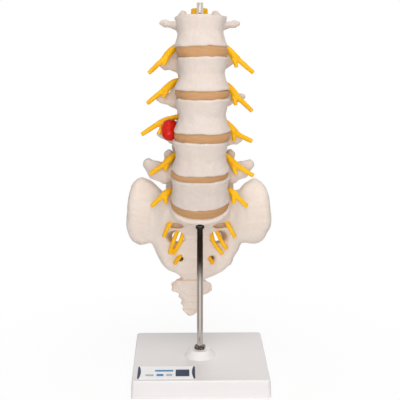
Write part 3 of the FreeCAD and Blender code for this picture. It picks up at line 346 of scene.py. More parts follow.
def arch_field(points, level):
    """Pedicles, laminae, facets and processes of a vertebra."""
    plate = UPPER[level]
    depth = BODY_DEPTH[level]
    pieces = []

    def at(x, u, v):
        return turned(plate, x, u, v)

    for side in (-1, 1):
        root_x = side * PEDICLE_X[level]
        half = PEDICLE_HALF[level]
        if level == "l5":
            under = PLATE
            facet_x = side * SACRAL_FACET_X
        else:
            under = UPPER[NEXT_DOWN[level]]
            facet_x = side * FACET_X[NEXT_DOWN[level]]
        low_x = facet_x - side * FACET_STEP_IN
        hang_top = FACET_HANG_TOP[level]
        hang_end = hang_top - FACET_HANG[level]
        if level == "l5":
            blade = [(at(*place), high, thick) for place, high, thick in SIDE_L5[side > 0]]
        else:
            tip_x, tip_u, tip_v = SIDE_TIP[level][side > 0]
            root_high, high, thick = SIDE_HALF[level]
            root_v = SIDE_ROOT_V[level]
            reach = tip_x - root_x
            blade = [
                (at(root_x, FACET_BACK - 5.5, root_v), root_high + 1.4, thick + 1.8),
                (at(root_x + reach * 0.35, FACET_BACK - 2.5, root_v * 0.6 + tip_v * 0.4),
                 root_high, thick + 0.6),
                (at(tip_x - reach * 0.25, tip_u - 0.6, tip_v - 0.6), high + 0.5, thick),
                (at(tip_x - side * thick, tip_u, tip_v), high, thick),
            ]
        pieces += [
            limb(points, [
                (at(root_x, depth / 2 - 8, -9), half, 7.5),
                (at(root_x, depth / 2 + 3, -8.5), half, 6.5),
                (at(root_x, FACET_BACK - 3, -9), half + 0.6, 7.4),
            ], (1, 0, 0)),
            facet_up(points, plate, side * FACET_X[level], FACET_RISE[level], root_x),
            limb(points, [
                (at(root_x, FACET_BACK - 2, -6), 4.6, 4.6),
                (at(side * (PEDICLE_X[level] - 1), FACET_BACK + 3, -13), 4.2, 3.4),
                (turned(under, low_x, FACET_BACK + FACET_STEP_BACK, hang_top), 4, 3.3),
                (turned(under, low_x, FACET_BACK + FACET_STEP_BACK, hang_end + 3), 3.6, 2.9),
            ], (1, 0, 0), 2),
            limb(points, [
                (at(root_x, FACET_BACK + 1.5, -11), 7.5, 3.2),
                (at(root_x * 0.5, FACET_BACK + 6.5, -13), 8.4, 2.8),
                (at(0, FACET_BACK + 9.5, -14), 8.8, 3),
            ], (0, 0, 1), 2.5),
            limb(points, blade, (0, 0, 1), 2.5),
        ]
        if level in ("l2", "l3"):
            pieces.append(limb(points, [
                (at(side * 21, FACET_BACK + 1, -4), 4.4, 4.4),
                (at(side * 24.6, FACET_BACK + 0.6, -2.8), 3.8, 3.8),
            ], (0, 0, 1), 2))
    reach = SPINE_REACH[level]
    half = SPINE_HALF[level]
    spine = limb(points, [
        (at(0, FACET_BACK + 8, -14), half - 1.5, 4),
        (at(0, FACET_BACK + 16, -15.5), half - 1.2, 2.7),
        (at(0, reach - 8, -18), half - 0.4, 2.7),
        (at(0, reach - 3.4, -18.5), half - 0.8, 3.3),
    ], (0, 0, 1), 2.5)
    return soft_min(joined(pieces, 3), spine, 3.5)


def canal_stations():
    """Stations down the canal, from above l1 to the sacrum."""
    stations = [(turned(UPPER["l1"], 0, CANAL_BACK, 30),) + CANAL_HALF]
    for level in reversed(LEVELS):
        stations.append((turned(UPPER[level], 0, CANAL_BACK, -4),) + CANAL_HALF)
        stations.append((turned(LOWER[level], 0, CANAL_BACK, 3),) + CANAL_HALF)
    stations.append((turned(PLATE, 0, CANAL_BACK, 1),) + CANAL_HALF)
    return stations


def vertebra_field(level):
    """The whole casting of one vertebra."""
    place = list(reversed(LEVELS)).index(level)
    stations = canal_stations()[2 * place:2 * place + 4]

    def field(points):
        whole = soft_min(body_field(points, level), arch_field(points, level), 3.5)
        whole = whole + 0.16 * ripple(points, 9, 11 + place) + 0.06 * ripple(points, 3.6, 31 + place)
        whole = soft_max(whole, -limb(points, stations, (1, 0, 0)), 1.6)
        return bored(whole, points, 0.5)
    return field


def row_value(v, column):
    """A column of the sacrum's rows at height v, joined smoothly between them."""
    heights = np.array([row[0] for row in SACRUM_ROWS])[::-1]
    values = np.array([row[column] for row in SACRUM_ROWS])[::-1]
    slopes = np.gradient(values, heights)
    v = np.clip(v, heights[0], heights[-1])
    i = np.clip(np.searchsorted(heights, v) - 1, 0, len(heights) - 2)
    span = heights[i + 1] - heights[i]
    t = (v - heights[i]) / span
    a = values[i] * (1 + 2 * t) * (1 - t) ** 2 + slopes[i] * span * t * (1 - t) ** 2
    b = values[i + 1] * t * t * (3 - 2 * t) + slopes[i + 1] * span * t * t * (t - 1)
    return a + b


def inside_line(outline, a, b):
    """Signed distance to a closed smooth line through 2D points, negative inside it."""
    best = np.full(len(a), 1e9)
    inside = np.zeros(len(a), bool)
    corners = np.array(outline)
    smooth = []
    for i in range(len(corners)):
        p0, p1, p2, p3 = (corners[(i + k) % len(corners)] for k in (-1, 0, 1, 2))
        for t in (0, 0.5):
            smooth.append(0.5 * (2 * p1 + (p2 - p0) * t + (2 * p0 - 5 * p1 + 4 * p2 - p3) * t ** 2
                                 + (3 * p1 - p0 - 3 * p2 + p3) * t ** 3))
    for i, (start_a, start_b) in enumerate(smooth):
        end_a, end_b = smooth[(i + 1) % len(smooth)]
        run_a, run_b = end_a - start_a, end_b - start_b
        t = np.clip(((a - start_a) * run_a + (b - start_b) * run_b) / (run_a ** 2 + run_b ** 2), 0, 1)
        best = np.minimum(best, np.hypot(a - start_a - t * run_a, b - start_b - t * run_b))
        meets = start_a + (b - start_b) * run_a / (run_b if run_b else 1e-9)
        inside ^= ((start_b > b) != (end_b > b)) & (a < meets)
    return np.where(inside, -best, best)


def front_outline(points):
    """Distance to the sacrum's front outline, spread out along lines from the eye point."""
    share = (OUTLINE_Y - EYE[1]) / (points[:, 1] - EYE[1])
    x = EYE[0] + (points[:, 0] - EYE[0]) * share
    z = EYE[2] + (points[:, 2] - EYE[2]) * share
    return inside_line(SACRUM_OUTLINE, x, z)


def tunnels(points):
    """Field of each opening's tunnel, and how far behind its mouth the points lie."""
    back_way = np.array([0, math.cos(HOLE_SLOPE), -math.sin(HOLE_SLOPE)])
    found = []
    for (hole_x, hole_u, hole_v, wide, high), side in product(HOLES, (-1, 1)):
        start = turned(PLATE, DRIFT * hole_v + side * (hole_x + 1.5), hole_u, hole_v)
        inward = np.array([-side * 3, 0, 0])
        stations = [
            (start - back_way * 16 - inward * 1.5, wide * 1.5, high * 1.5),
            (start, wide, high),
            (start + back_way * 12 + inward, wide * 0.85, high * 0.9),
            (start + back_way * 55 + inward * 1.5, wide * 0.85, high * 0.9),
        ]
        if hole_v != OPEN_HOLE_V:
            stations = stations[:3]
        found.append((limb(points, stations, (1, 0, 0)), (points - start) @ back_way))
    return found


def pit_shade(points):
    """Painted shade: 1 on the walls of the sacrum's openings, behind their mouths, and 0 elsewhere."""
    shade = np.zeros(len(points))
    for tunnel, behind in tunnels(points):
        shade = np.maximum(shade, np.clip((behind - 1) / 3, 0, 1) * np.clip(1.6 - tunnel, 0, 1))
    return shade


def smooth_step(value, low, high):
    """0 to 1 from one value to another, level at both ends."""
    t = np.clip((value - low) / (high - low), 0, 1)
    return t * t * (3 - 2 * t)


def sacrum_slab(middle, u, v):
    """The fused segments: a curved slab that thickens to its sides, with ridges across its front."""
    half, front, shoulder, edge, back = (row_value(v, column) for column in range(1, 6))
    r = np.clip(np.abs(middle) / half, 0, 1)
    ear_u, ear_v = zip(*WING_FRONT)
    ear_front = np.interp(v, ear_v, ear_u)
    turn = np.clip((-62 - v) / 10, 0, 1)
    stops = [front, front * 0.75 + shoulder * 0.25, shoulder, edge,
             (ear_front - 1) * (1 - turn) + (edge * 0.6 + back * 0.4 - 1) * turn]
    places = [0, 0.34, 0.66, 0.9, 1]
    u_front = front
    for k in range(4):
        u_front = u_front + (stops[k + 1] - stops[k]) * smooth_step(r, places[k], places[k + 1])
    t = np.clip(r / 0.5, 0, 1)
    u_back = back - 3.5 * t * t
    t = np.clip((r - 0.5) / 0.5, 0, 1)
    u_back = u_back + (edge * 0.5 + back * 0.5 - 1 - (back - 3.5)) * t * t
    for ridge in (-23, -44.5, -67, -81):
        u_front = u_front - 0.9 * np.exp(-((v - ridge) / 1.6) ** 2) * np.exp(-(middle / 15) ** 4)
    slab = soft_max(u_front - u, u - u_back, 7)
    slab = soft_max(slab, (np.abs(middle) - half) * 0.8, 7)
    slab = soft_max(slab, v + 4, 5)
    return soft_max(slab, -94.5 - v, 4)


def sacrum_plate(x, u, v):
    """The top of the sacrum, a kidney with a lip at its front that narrows downwards."""
    share = np.clip(-v / 22, 0, 1)
    lip = LIP_REACH * np.exp(-((v + 4.6) / 5.4) ** 2)
    depth = PLATE_DEPTH - 1 - 15 * share + np.where(u < 0, 2 * lip, 0)
    plate = kidney(x, u, PLATE_WIDTH - 1 - 11 * share ** 1.3, depth)
    plate = soft_max(plate, v + 0.1 + rim_wave(x, u, 4.4), 2.2)
    return soft_max(plate, -24 - v, 5)


def sacrum_crest(points, middle, v):
    """The row of joined knobs down the middle of the sacrum's back."""
    crest = limb(points, [
        (turned(PLATE, 0, 33, -8), 4.2, 2.6),
        (turned(PLATE, 0, 36, -20), 5.7, 2.8),
        (turned(PLATE, -1.5, 32, -40), 5.2, 2.6),
        (turned(PLATE, -2.5, 19.4, -61), 4.2, 2.6),
    ], (0, 1, 0))
    return crest - 0.9 * np.cos((v + 14) * 2 * math.pi / 19) * np.exp(-(middle / 6) ** 2)


def sacrum_field(points):
    """Plate, fused segments, side lobes, crest and facets, with canal and openings."""
    x, u, v = in_plate(PLATE, points)
    middle = x - DRIFT * v
    whole = soft_min(sacrum_slab(middle, u, v), sacrum_plate(x, u, v), 5)
    lean = WING_LEAN * np.clip((56 - np.abs(x)) / 16, 0, 1.8) ** 1.5
    ear = inside_line(WING_OUTLINE, u + lean, v) - 0.6
    whole = soft_min(whole, soft_max(ear, 27 - np.abs(x), 6), 4)
    whole = soft_max(whole, front_outline(points) + 0.2, 6.5)
    for side in (-1, 1):
        facet_x = side * SACRAL_FACET_X
        whole = soft_min(whole, facet_up(points, PLATE, facet_x, SACRAL_FACET_RISE, facet_x), 4)
    whole = soft_min(whole, sacrum_crest(points, middle, v), 3.5)
    whole = whole + 0.2 * ripple(points, 10, 5) + 0.07 * ripple(points, 4, 6)
    canal = [(turned(PLATE, DRIFT * cv, cu, cv),) + SACRAL_CANAL_HALF for cu, cv in [(26, 30)] + SACRAL_CANAL]
    whole = soft_max(whole, -limb(points, canal, (1, 0, 0)), 2)
    for tunnel, _ in tunnels(points):
        whole = soft_max(whole, -tunnel, 2.6)

    def on_back(spot, side, deep, thick):
        """Field of an oval set into the back at a spot (x, v and half sizes)."""
        place_x, place_v, wide, high = spot
        rise = u - row_value(np.full(1, place_v), 5) + deep
        oval = np.sqrt(((x - side * place_x) / wide) ** 2 + (rise / thick) ** 2 + ((v - place_v) / high) ** 2)
        return (oval - 1) * 2.6

    for spot, side in product(BACK_KNOBS, (-1, 1)):
        whole = soft_min(whole, on_back(spot, side, 2.4, 3), 3)
    for spot, side in product(BACK_PITS, (-1, 1)):
        whole = soft_max(whole, -on_back(spot, side, 2, 7), 2)
    radius = np.hypot(points[:, 0], points[:, 1])
    pocket = np.maximum(radius - (CLIP_R + CLIP_GAP), points[:, 2] - CLIP_SEAT_Z)
    return bored(soft_max(whole, -pocket, 0.5), points, 0.5)


def coccyx_field(points):
    """The tail bone: a winged plate and small segments that taper to a tip."""
    stations = [(np.array([COCCYX_X + 0.04 * (z - 72), y, z]), half, thick)
                for y, z, half, thick in COCCYX_ROWS]
    whole = limb(points, stations, (1, 0, 0), 2)
    return whole + 0.2 * ripple(points, 5, 77)


def seam_shade(points):
    """Painted shade: 1 along the coccyx's top edge, where it is glued on, and less between its segments."""
    shade = np.clip((points[:, 2] - 70.7) / 0.7, 0, 1)
    for seam in (57, 51.2, 45):
        middle = seam + 0.5 * np.sin(points[:, 0] * 0.8 + seam) + 0.05 * (points[:, 0] - COCCYX_X) ** 2
        shade = np.maximum(shade, 0.6 * np.exp(-((points[:, 2] - middle) / 0.8) ** 2))
    return shade


def settle(field, places, cell):
    """Moves places onto the surface along the field's slope; returns slopes as well."""
    reach = 0.05
    for _ in range(4):
        value = field(places)
        slope = np.stack([field(places + reach * np.eye(3)[k]) - value for k in range(3)], 1) / reach
        size = np.maximum((slope ** 2).sum(1), 0.05)
        move = -slope * (value / size)[:, None]
        length = np.linalg.norm(move, axis=1)
        move *= np.minimum(1, 0.5 * cell / np.maximum(length, 1e-9))[:, None]
        places = places + move
    slope = slope / np.maximum(np.linalg.norm(slope, axis=1), 1e-6)[:, None]
    return places, slope


def skin_of(field, low, high, cell):
    """Closed quad mesh of a field's surface inside a box: points, slopes and faces."""
    low = np.asarray(low, float)
    counts = np.ceil((np.asarray(high, float) - low) / cell).astype(int) + 1
    axes = [low[k] + cell * np.arange(counts[k]) for k in range(3)]
    inside = np.empty(counts, bool)
    for i in range(counts[0]):
        y, z = np.meshgrid(axes[1], axes[2], indexing="ij")
        plane = np.stack([np.full(y.size, axes[0][i]), y.ravel(), z.ravel()], 1)
        inside[i] = (field(plane) < 0).reshape(counts[1:])
    for axis in range(3):
        edge = np.swapaxes(inside, 0, axis)
        edge[0] = edge[-1] = False
    total = np.zeros(counts - 1, int)
    for i, j, k in product((0, 1), repeat=3):
        total += inside[i:counts[0] - 1 + i, j:counts[1] - 1 + j, k:counts[2] - 1 + k]
    active = (total > 0) & (total < 8)
    number = np.full(counts - 1, -1)
    number[active] = np.arange(active.sum())
    places = low + (np.argwhere(active) + 0.5) * cell
    faces = []
    for axis in range(3):
        first = np.take(inside, range(counts[axis] - 1), axis)
        second = np.take(inside, range(1, counts[axis]), axis)
        edges = np.argwhere(first != second)
        b = (axis + 1) % 3
        c = (axis + 2) % 3
        outward = first[tuple(edges.T)]
        corners = []
        for step_b, step_c in ((0, 0), (1, 0), (1, 1), (0, 1)):
            cell_at = edges.copy()
            cell_at[:, b] -= step_b
            cell_at[:, c] -= step_c
            corners.append(number[tuple(cell_at.T)])
        quads = np.stack(corners, 1)
        quads[~outward] = quads[~outward][:, ::-1]
        faces.append(quads)
    places, slopes = settle(field, places, cell)
    return places, slopes, np.concatenate(faces)


def placed(name, data):
    """A new object in the scene."""
    made = bpy.data.objects.new(name, data)
    bpy.context.collection.objects.link(made)
    return made


def mesh_piece(name, places, faces, material, attribute, values):
    """A smooth mesh object in metres, its place in its mesh, with one number kept at each point."""
    mesh = bpy.data.meshes.new(name)
    mesh.vertices.add(len(places))
    mesh.vertices.foreach_set("co", (np.asarray(places) * MM).astype(np.float32).ravel())
    width = faces.shape[1]
    mesh.loops.add(faces.size)
    mesh.loops.foreach_set("vertex_index", faces.astype(np.int32).ravel())
    mesh.polygons.add(len(faces))
    mesh.polygons.foreach_set("loop_start", np.arange(0, faces.size, width, dtype=np.int32))
    mesh.polygons.foreach_set("loop_total", np.full(len(faces), width, dtype=np.int32))
    mesh.polygons.foreach_set("use_smooth", np.ones(len(faces), bool))
    mesh.update(calc_edges=True)
    mesh.validate()
    layer = mesh.attributes.new(attribute, "FLOAT", "POINT")
    layer.data.foreach_set("value", np.asarray(values, np.float32))
    mesh.materials.append(material)
    return placed(name, mesh)


def declare(piece, node):
    """Puts a piece on the root body and hides the node that it stands for."""
    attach(piece, "root")
    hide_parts(node)


def skin_in_box(field, node, cell, margin=MARGIN):
    """Skin of a field inside the box of its node."""
    low, high = (np.array(corner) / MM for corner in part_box(node))
    return skin_of(field, low - margin, high + margin, cell)


def cast_piece(name, field, node, material, cell, margin=MARGIN, shade=None):
    """A casting made from its field, with painted shade in its hollows and where it has a shade."""
    places, slopes, faces = skin_in_box(field, node, cell, margin)
    # Painted shade: a point with little open space in front of it counts as in a hollow, and its colour is
    # darkened there
    open_space = field(places + slopes * HOLLOW_REACH) / HOLLOW_REACH
    hollow = np.clip(1 - open_space, 0, 1)
    if shade:
        hollow = np.maximum(hollow, shade(places))
    declare(mesh_piece(name, places, faces, material, "hollow", hollow), node)


# Materials

class Value:
    """Wraps an output socket, so that shader maths reads as ordinary maths."""

    def __init__(self, maker, socket):
        self.maker = maker
        self.socket = socket

    def other(self, index):
        """Another output of the same node."""
        return Value(self.maker, self.socket.node.outputs[index])

    def maths(self, operation, other, swap=False):
        """A maths node for this value and another, or for the other and this one."""
        first, second = (other, self) if swap else (self, other)
        return self.maker.node("ShaderNodeMath", {"operation": operation}, {0: first, 1: second})

    __add__ = partialmethod(maths, "ADD")
    __radd__ = partialmethod(maths, "ADD", swap=True)
    __sub__ = partialmethod(maths, "SUBTRACT")
    __rsub__ = partialmethod(maths, "SUBTRACT", swap=True)
    __mul__ = partialmethod(maths, "MULTIPLY")
    __rmul__ = partialmethod(maths, "MULTIPLY", swap=True)
    __truediv__ = partialmethod(maths, "DIVIDE")
    __pow__ = partialmethod(maths, "POWER")
    __gt__ = partialmethod(maths, "GREATER_THAN")
    __lt__ = partialmethod(maths, "LESS_THAN")


class Nodes:
    """Adds nodes to a tree, which it empties first."""

    def __init__(self, tree):
        self.tree = tree
        tree.nodes.clear()

    def node(self, kind, settings=None, sockets=None, out=0):
        """Adds a node: its settings first, then the values or links of its sockets."""
        made = self.tree.nodes.new(kind)
        for key, value in (settings or {}).items():
            setattr(made, key, value)
        for key, value in (sockets or {}).items():
            socket = made.inputs[key]
            if isinstance(value, Value):
                self.tree.links.new(value.socket, socket)
            else:
                socket.default_value = value
        return Value(self, made.outputs[out])

    def seen(self):
        """1 for rays from the camera, a mirror or glass, and 0 for light that falls on things."""
        rays = self.node("ShaderNodeLightPath", out="Is Camera Ray")
        return rays + rays.other("Is Glossy Ray") + rays.other("Is Transmission Ray")

    def show(self, factor, first, second, output="ShaderNodeOutputMaterial"):
        """Mix of two shaders, led to the output."""
        mixed = self.node("ShaderNodeMixShader", None, {"Fac": factor, 1: first, 2: second})
        self.tree.links.new(mixed.socket, self.tree.nodes.new(output).inputs["Surface"])


class Maker(Nodes):
    """Builds one material out of nodes."""

    def __init__(self, name):
        self.material = bpy.data.materials.new(name)
        self.material.use_nodes = True
        super().__init__(self.material.node_tree)

    def place(self):
        """Object coordinates, in metres."""
        return self.node("ShaderNodeTexCoord", out="Object")

    def axes(self):
        """The x of the object coordinates, with y and z as its other outputs."""
        return self.node("ShaderNodeSeparateXYZ", None, {"Vector": self.place()})

    def away(self):
        """Distance from the object's origin."""
        return self.node("ShaderNodeVectorMath", {"operation": "LENGTH"}, {0: self.place()}, out="Value")

    def kept(self, name):
        """The number that the mesh keeps at each of its points under a name."""
        return self.node("ShaderNodeAttribute", {"attribute_name": name}, out="Fac")

    def noise(self, scale, detail=3, rough=0.5, place=None):
        """Noise between about 0 and 1, with features 1 / scale metres wide."""
        return self.node("ShaderNodeTexNoise", {"noise_dimensions": "3D"}, {
            "Vector": place or self.place(), "Scale": scale, "Detail": detail, "Roughness": rough})

    def blend(self, factor, first, second):
        """Mix of two colours."""
        return self.node("ShaderNodeMix", {"data_type": "RGBA"}, {0: factor, 6: first, 7: second}, out=2)

    def ramp(self, value, low, high):
        """Value brought from low..high to 0..1, and kept there."""
        return self.node("ShaderNodeMapRange", {"clamp": True}, {
            "Value": value, "From Min": low, "From Max": high, "To Min": 0, "To Max": 1})

    def bump(self, height, strength, distance, normal=None):
        """A bump of the given depth in metres."""
        sockets = {"Height": height, "Strength": strength, "Distance": distance}
        if normal:
            sockets["Normal"] = normal
        return self.node("ShaderNodeBump", None, sockets, out="Normal")

    def surface(self, sockets):
        """The principled shader and the output."""
        shader = self.node("ShaderNodeBsdfPrincipled", None, sockets)
        output = self.tree.nodes.new("ShaderNodeOutputMaterial")
        self.tree.links.new(shader.socket, output.inputs["Surface"])
        return self.material


def tone(colour, *factors):
    """A colour made darker or lighter, by one factor or by one for each channel."""
    if len(factors) == 1:
        factors = factors * 3
    return tuple(min(1, channel * factor) for channel, factor in zip(colour, factors)) + (1,)


def bone_material(name, colour, hollow_shade):
    """Cast bone: off-white, faintly mottled and grained, with painted shade in its hollows."""
    make = Maker(name)
    colour = tone(colour, 1)
    hollow = make.kept("hollow")
    cloud = make.ramp(make.noise(70, 4, 0.55), 0.34, 0.68)
    vein = make.ramp(make.noise(420, 5, 0.6), 0.42, 0.72)
    warm = make.blend(cloud * 0.55, colour, tone(colour, 1.01, 0.965, 0.925))
    lilac = make.ramp(make.noise(110, 5, 0.65), 0.5, 0.72)
    warm = make.blend(lilac * 0.6, warm, tone(colour, 0.97, 0.9, 0.96))
    fine = make.blend(vein * 0.26, warm, tone(colour, 0.8))
    # Painted shade: the hollows get a darker, browner copy of the colour
    deep = make.ramp(hollow, 0.25, 1)
    with_painted_shade = make.blend(deep * hollow_shade, fine, tone(colour, 0.8, 0.6, 0.4))
    pores = make.node("ShaderNodeTexVoronoi", {"feature": "F1"}, {
        "Vector": make.place(), "Scale": 620}, out="Distance")
    pits = 1 - make.ramp(pores, 0.05, 0.32)
    grain = make.noise(900, 4, 0.6)
    coarse = make.noise(190, 3, 0.5)
    normal = make.bump(coarse, 0.5, 0.0006)
    normal = make.bump(grain - pits * 0.35, 0.3, 0.00018, normal)
    rough = 0.44 + cloud * 0.1 + vein * 0.06
    return make.surface({
        "Base Color": with_painted_shade, "Roughness": rough, "Normal": normal, "IOR": 1.48,
        "Subsurface Weight": 0.12, "Subsurface Radius": (0.9, 0.5, 0.3), "Subsurface Scale": 0.0015})


def disc_material(looks):
    """Rubber disc: tan, with crossed fibre lines round its edge."""
    make = Maker("disc_rubber")
    colour = tone(looks.disc_colour, 1)
    layer = make.kept("layer")
    place = make.axes()
    spread = make.node("ShaderNodeCombineXYZ", None, {
        "X": place * 90, "Y": place.other(1) * 90, "Z": layer * 9})
    lines = make.ramp(make.noise(1, 4, 0.6, spread), 0.35, 0.68)
    cloud = make.ramp(make.noise(90, 3, 0.5), 0.35, 0.7)
    body = make.blend(lines * 0.5, tone(colour, 1.06), tone(colour, 0.72))
    body = make.blend(cloud * 0.3, body, tone(colour, 1.05, 0.9, 0.72))
    normal = make.bump(lines + 0.4 * make.noise(700, 3, 0.5), 0.4, 0.0002)
    return make.surface({"Base Color": body, "Roughness": 0.46 + lines * 0.12, "Normal": normal, "IOR": 1.5})


def nerve_material(looks):
    """Yellow rubber nerves, with faint streaks."""
    make = Maker("nerve_rubber")
    colour = tone(looks.nerve_colour, 1)
    cloud = make.ramp(make.noise(160, 4, 0.55), 0.34, 0.7)
    body = make.blend(cloud * 0.5, tone(colour, 1.08), tone(colour, 0.86, 0.7, 0.5))
    normal = make.bump(make.noise(520, 4, 0.55), 0.35, 0.00025)
    return make.surface({
        "Base Color": body, "Roughness": 0.34 + cloud * 0.1, "Normal": normal, "Specular IOR Level": 0.3,
        "Subsurface Weight": 0.1, "Subsurface Radius": (1, 0.6, 0.2), "Subsurface Scale": 0.001})


def nucleus_material(looks):
    """The slipped disc: glossy red, with painted shade in its folds."""
    make = Maker("nucleus_gloss")
    colour = tone(looks.nucleus_colour, 1)
    hollow = make.kept("hollow")
    cloud = make.ramp(make.noise(240, 4, 0.5), 0.35, 0.7)
    body = make.blend(cloud * 0.4, colour, tone(colour, 0.8, 0.5, 0.45))
    # Painted shade: the bulb is darkened where its hollow number is high
    body = make.blend(make.ramp(hollow, 0.3, 1) * 0.6, body, tone(colour, 0.45))
    normal = make.bump(make.noise(330, 3, 0.5), 0.4, 0.0004)
    return make.surface({
        "Base Color": body, "Roughness": 0.24 + cloud * 0.12, "Normal": normal, "Specular IOR Level": 0.25,
        "IOR": 1.45})


def base_material(looks):
    """Moulded glossy plastic of the base, with a very fine orange peel and dust."""
    make = Maker("base_plastic")
    colour = tone(looks.base_colour, 1)
    cloud = make.ramp(make.noise(35, 3, 0.5), 0.35, 0.7)
    speck = make.ramp(make.noise(1500, 2, 0.5), 0.68, 0.8)
    body = make.blend(cloud * 0.2, colour, tone(colour, 0.97, 0.9652, 0.9555))
    body = make.blend(speck * 0.12, body, tone(colour, 0.7))
    normal = make.bump(make.noise(260, 2, 0.5), 0.12, 0.0002)
    return make.surface({"Base Color": body, "Roughness": 0.2 + cloud * 0.06, "Normal": normal, "IOR": 1.5})


def chrome_material():
    """Polished chrome with faint drawing lines and smudges; its darkened, warm colour is a painted reflection
    of tan surroundings.
    """
    make = Maker("rod_chrome")
    smudge = make.ramp(make.noise(120, 4, 0.6), 0.4, 0.75)
    stretch = make.node("ShaderNodeMapping", None, {"Vector": make.place(), "Scale": (1, 1, 0.02)})
    lines = make.noise(5000, 2, 0.5, stretch)
    # Painted reflection: the chrome's dim warm colour stands for tan surroundings mirrored in it; the smudges
    # are marks on the chrome
    body = make.blend(smudge * 0.5, (0.62, 0.57, 0.53, 1), (0.5, 0.45, 0.41, 1))
    normal = make.bump(lines, 0.1, 0.00002)
    return make.surface({
        "Base Color": body, "Metallic": 1, "Roughness": 0.07 + smudge * 0.06, "Normal": normal})


def worn_steel(name, metallic, rough, colours, wear, scale, bump):
    """Dark steel, worn brighter in spots; wear is its share, the spots' scale and their lower edge."""
    make = Maker(name)
    share, spots, edge = wear
    worn = make.ramp(make.noise(spots, 4, 0.6), edge, 0.7)
    body = make.blend(worn * share, *colours)
    normal = make.bump(make.noise(scale, 3, 0.5), *bump)
    return make.surface({
        "Base Color": body, "Metallic": metallic, "Roughness": rough + worn * 0.15, "Normal": normal})


def nut_material():
    """Plated steel of the nuts and the washer."""
    colours = ((0.05, 0.04, 0.035, 1), (0.34, 0.3, 0.27, 1))
    return worn_steel("nut_plating", 1, 0.2, colours, (1, 650, 0.42), 1800, (0.3, 0.00005))


def clip_material():
    """Blackened spring steel of the retaining ring."""
    colours = ((0.03, 0.03, 0.032, 1), (0.12, 0.115, 0.11, 1))
    return worn_steel("clip_steel", 0.9, 0.3, colours, (0.5, 900, 0.45), 2200, (0.25, 0.00004))


def label_material(looks):
    """A coated white sticker with plain fields of colour and no print."""
    make = Maker("label_coated")
    low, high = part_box("base_label")
    place = make.axes()
    across = (place - low[0]) / (high[0] - low[0])
    along = (place.other(1) - low[1]) / (high[1] - low[1])
    dark = tone(looks.label_dark, 1)
    blue = tone(looks.label_blue, 1)
    grey = (0.42, 0.44, 0.46, 1)

    def field(x0, x1, y0, y1):
        return (across > x0) * (across < x1) * (along > y0) * (along < y1)

    body = make.blend(make.noise(700, 2) * 0.05, (0.97, 0.97, 0.97, 1), (0.7, 0.7, 0.7, 1))
    bow = ((along - 0.5) * 2) ** 2 * 0.03
    parts = (
        (across < 0.055 - bow, dark), (across > 0.945 + bow, dark),
        (field(0.30, 0.62, 0.56, 0.70), blue), (field(0.14, 0.28, 0.22, 0.34), grey),
        (field(0.33, 0.45, 0.20, 0.38), blue), (field(0.50, 0.60, 0.22, 0.36), grey),
        (field(0.66, 0.90, 0.18, 0.72), dark))
    for part, colour in parts:
        body = make.blend(part, body, colour)
    return make.surface({"Base Color": body, "Roughness": 0.42 + make.noise(300) * 0.1, "IOR": 1.4})


# Nerves. A lumbar nerve leaves the cord through the two points of its start. Then come two more points
# of its root, its ganglion, three points of its long end and the end of its stub, all as (x, u, v) in
# the frame of its vertebra's top plate.
NERVE_R = 2
NERVE_TIP_R = 1.7
GANGLION_R = 3
STUB_R = 1.6
ROOT_START = [(4, 24, -13.5), (12, 24, -19)]
ROOT_START_L5 = [(4, 24, -13.5), (11, 23, -20.5)]
LUMBAR_ROUTES = {
    ("l1", "left"): [(-17, 23, -20.5), (-21.7, 20.5, -23.4), (-26.5, 20, -29), (-31.5, 20.5, -34),
                    (-38, 22, -40), (-44.3, 23.6, -45.9), (-31.4, 19.5, -39.5)],
    ("l1", "right"): [(18, 23, -20.5), (23.5, 20.5, -24), (28.5, 20, -30.5), (34, 20.5, -35),
                    (40, 22, -40), (46.8, 23.6, -45.6), (32, 19.5, -41.3)],
    ("l2", "left"): [(-17, 23, -19.5), (-22, 20.5, -20.5), (-27, 20.5, -25.5), (-33, 21.5, -29.5),
                    (-39.5, 23.5, -34.5), (-45.9, 24.9, -39.8), (-31.6, 21, -34.7)],
    ("l2", "right"): [(18, 23, -21), (24, 20.5, -23.5), (28.5, 21, -29.5), (33.5, 22, -35),
                    (39.5, 24, -40.5), (46, 25.7, -46.7), (31.5, 21.5, -41.5)],
    ("l3", "left"): [(-17, 23.5, -19), (-23, 21, -20.2), (-30.5, 21.5, -23.4), (-38, 22, -26.5),
                    (-44.5, 22.5, -31), (-51.2, 23, -35.3), (-36, 21.5, -34.6)],
    ("l3", "right"): [(18, 23, -20.5), (24.5, 20.5, -25), (29.5, 20, -32), (34, 21, -35.5),
                    (40, 22, -38.5), (46.3, 23, -41.6), (30.2, 19.5, -41)],
    ("l4", "left"): [(-18, 22.5, -19.5), (-23.5, 20, -20), (-27.5, 19, -24.5), (-32.5, 18.5, -28.5),
                    (-38, 18.8, -32.5), (-44.1, 19.1, -37.1), (-30.5, 18, -33.2)],
    ("l4", "right"): [(18, 22.5, -19.5), (24, 20, -20.5), (28.5, 19, -26), (34.5, 18.5, -30),
                    (41, 18.8, -34.5), (47.9, 19, -38.8), (32.4, 17.5, -36.8)],
    ("l5", "left"): [(-18, 18.5, -23.2), (-25.5, 13.5, -22.8), (-30.5, 9, -23.5), (-34, 8, -26.5),
                    (-38.5, 7.8, -31), (-43.3, 7.7, -36), (-30.2, 5, -31.5)],
    ("l5", "right"): [(18, 18.5, -23.2), (25.5, 13.5, -22.8), (30.5, 9, -23.5), (33.5, 8, -27),
                    (38, 7.8, -31.5), (42.6, 7.6, -36.4), (30.2, 5, -32)],
}
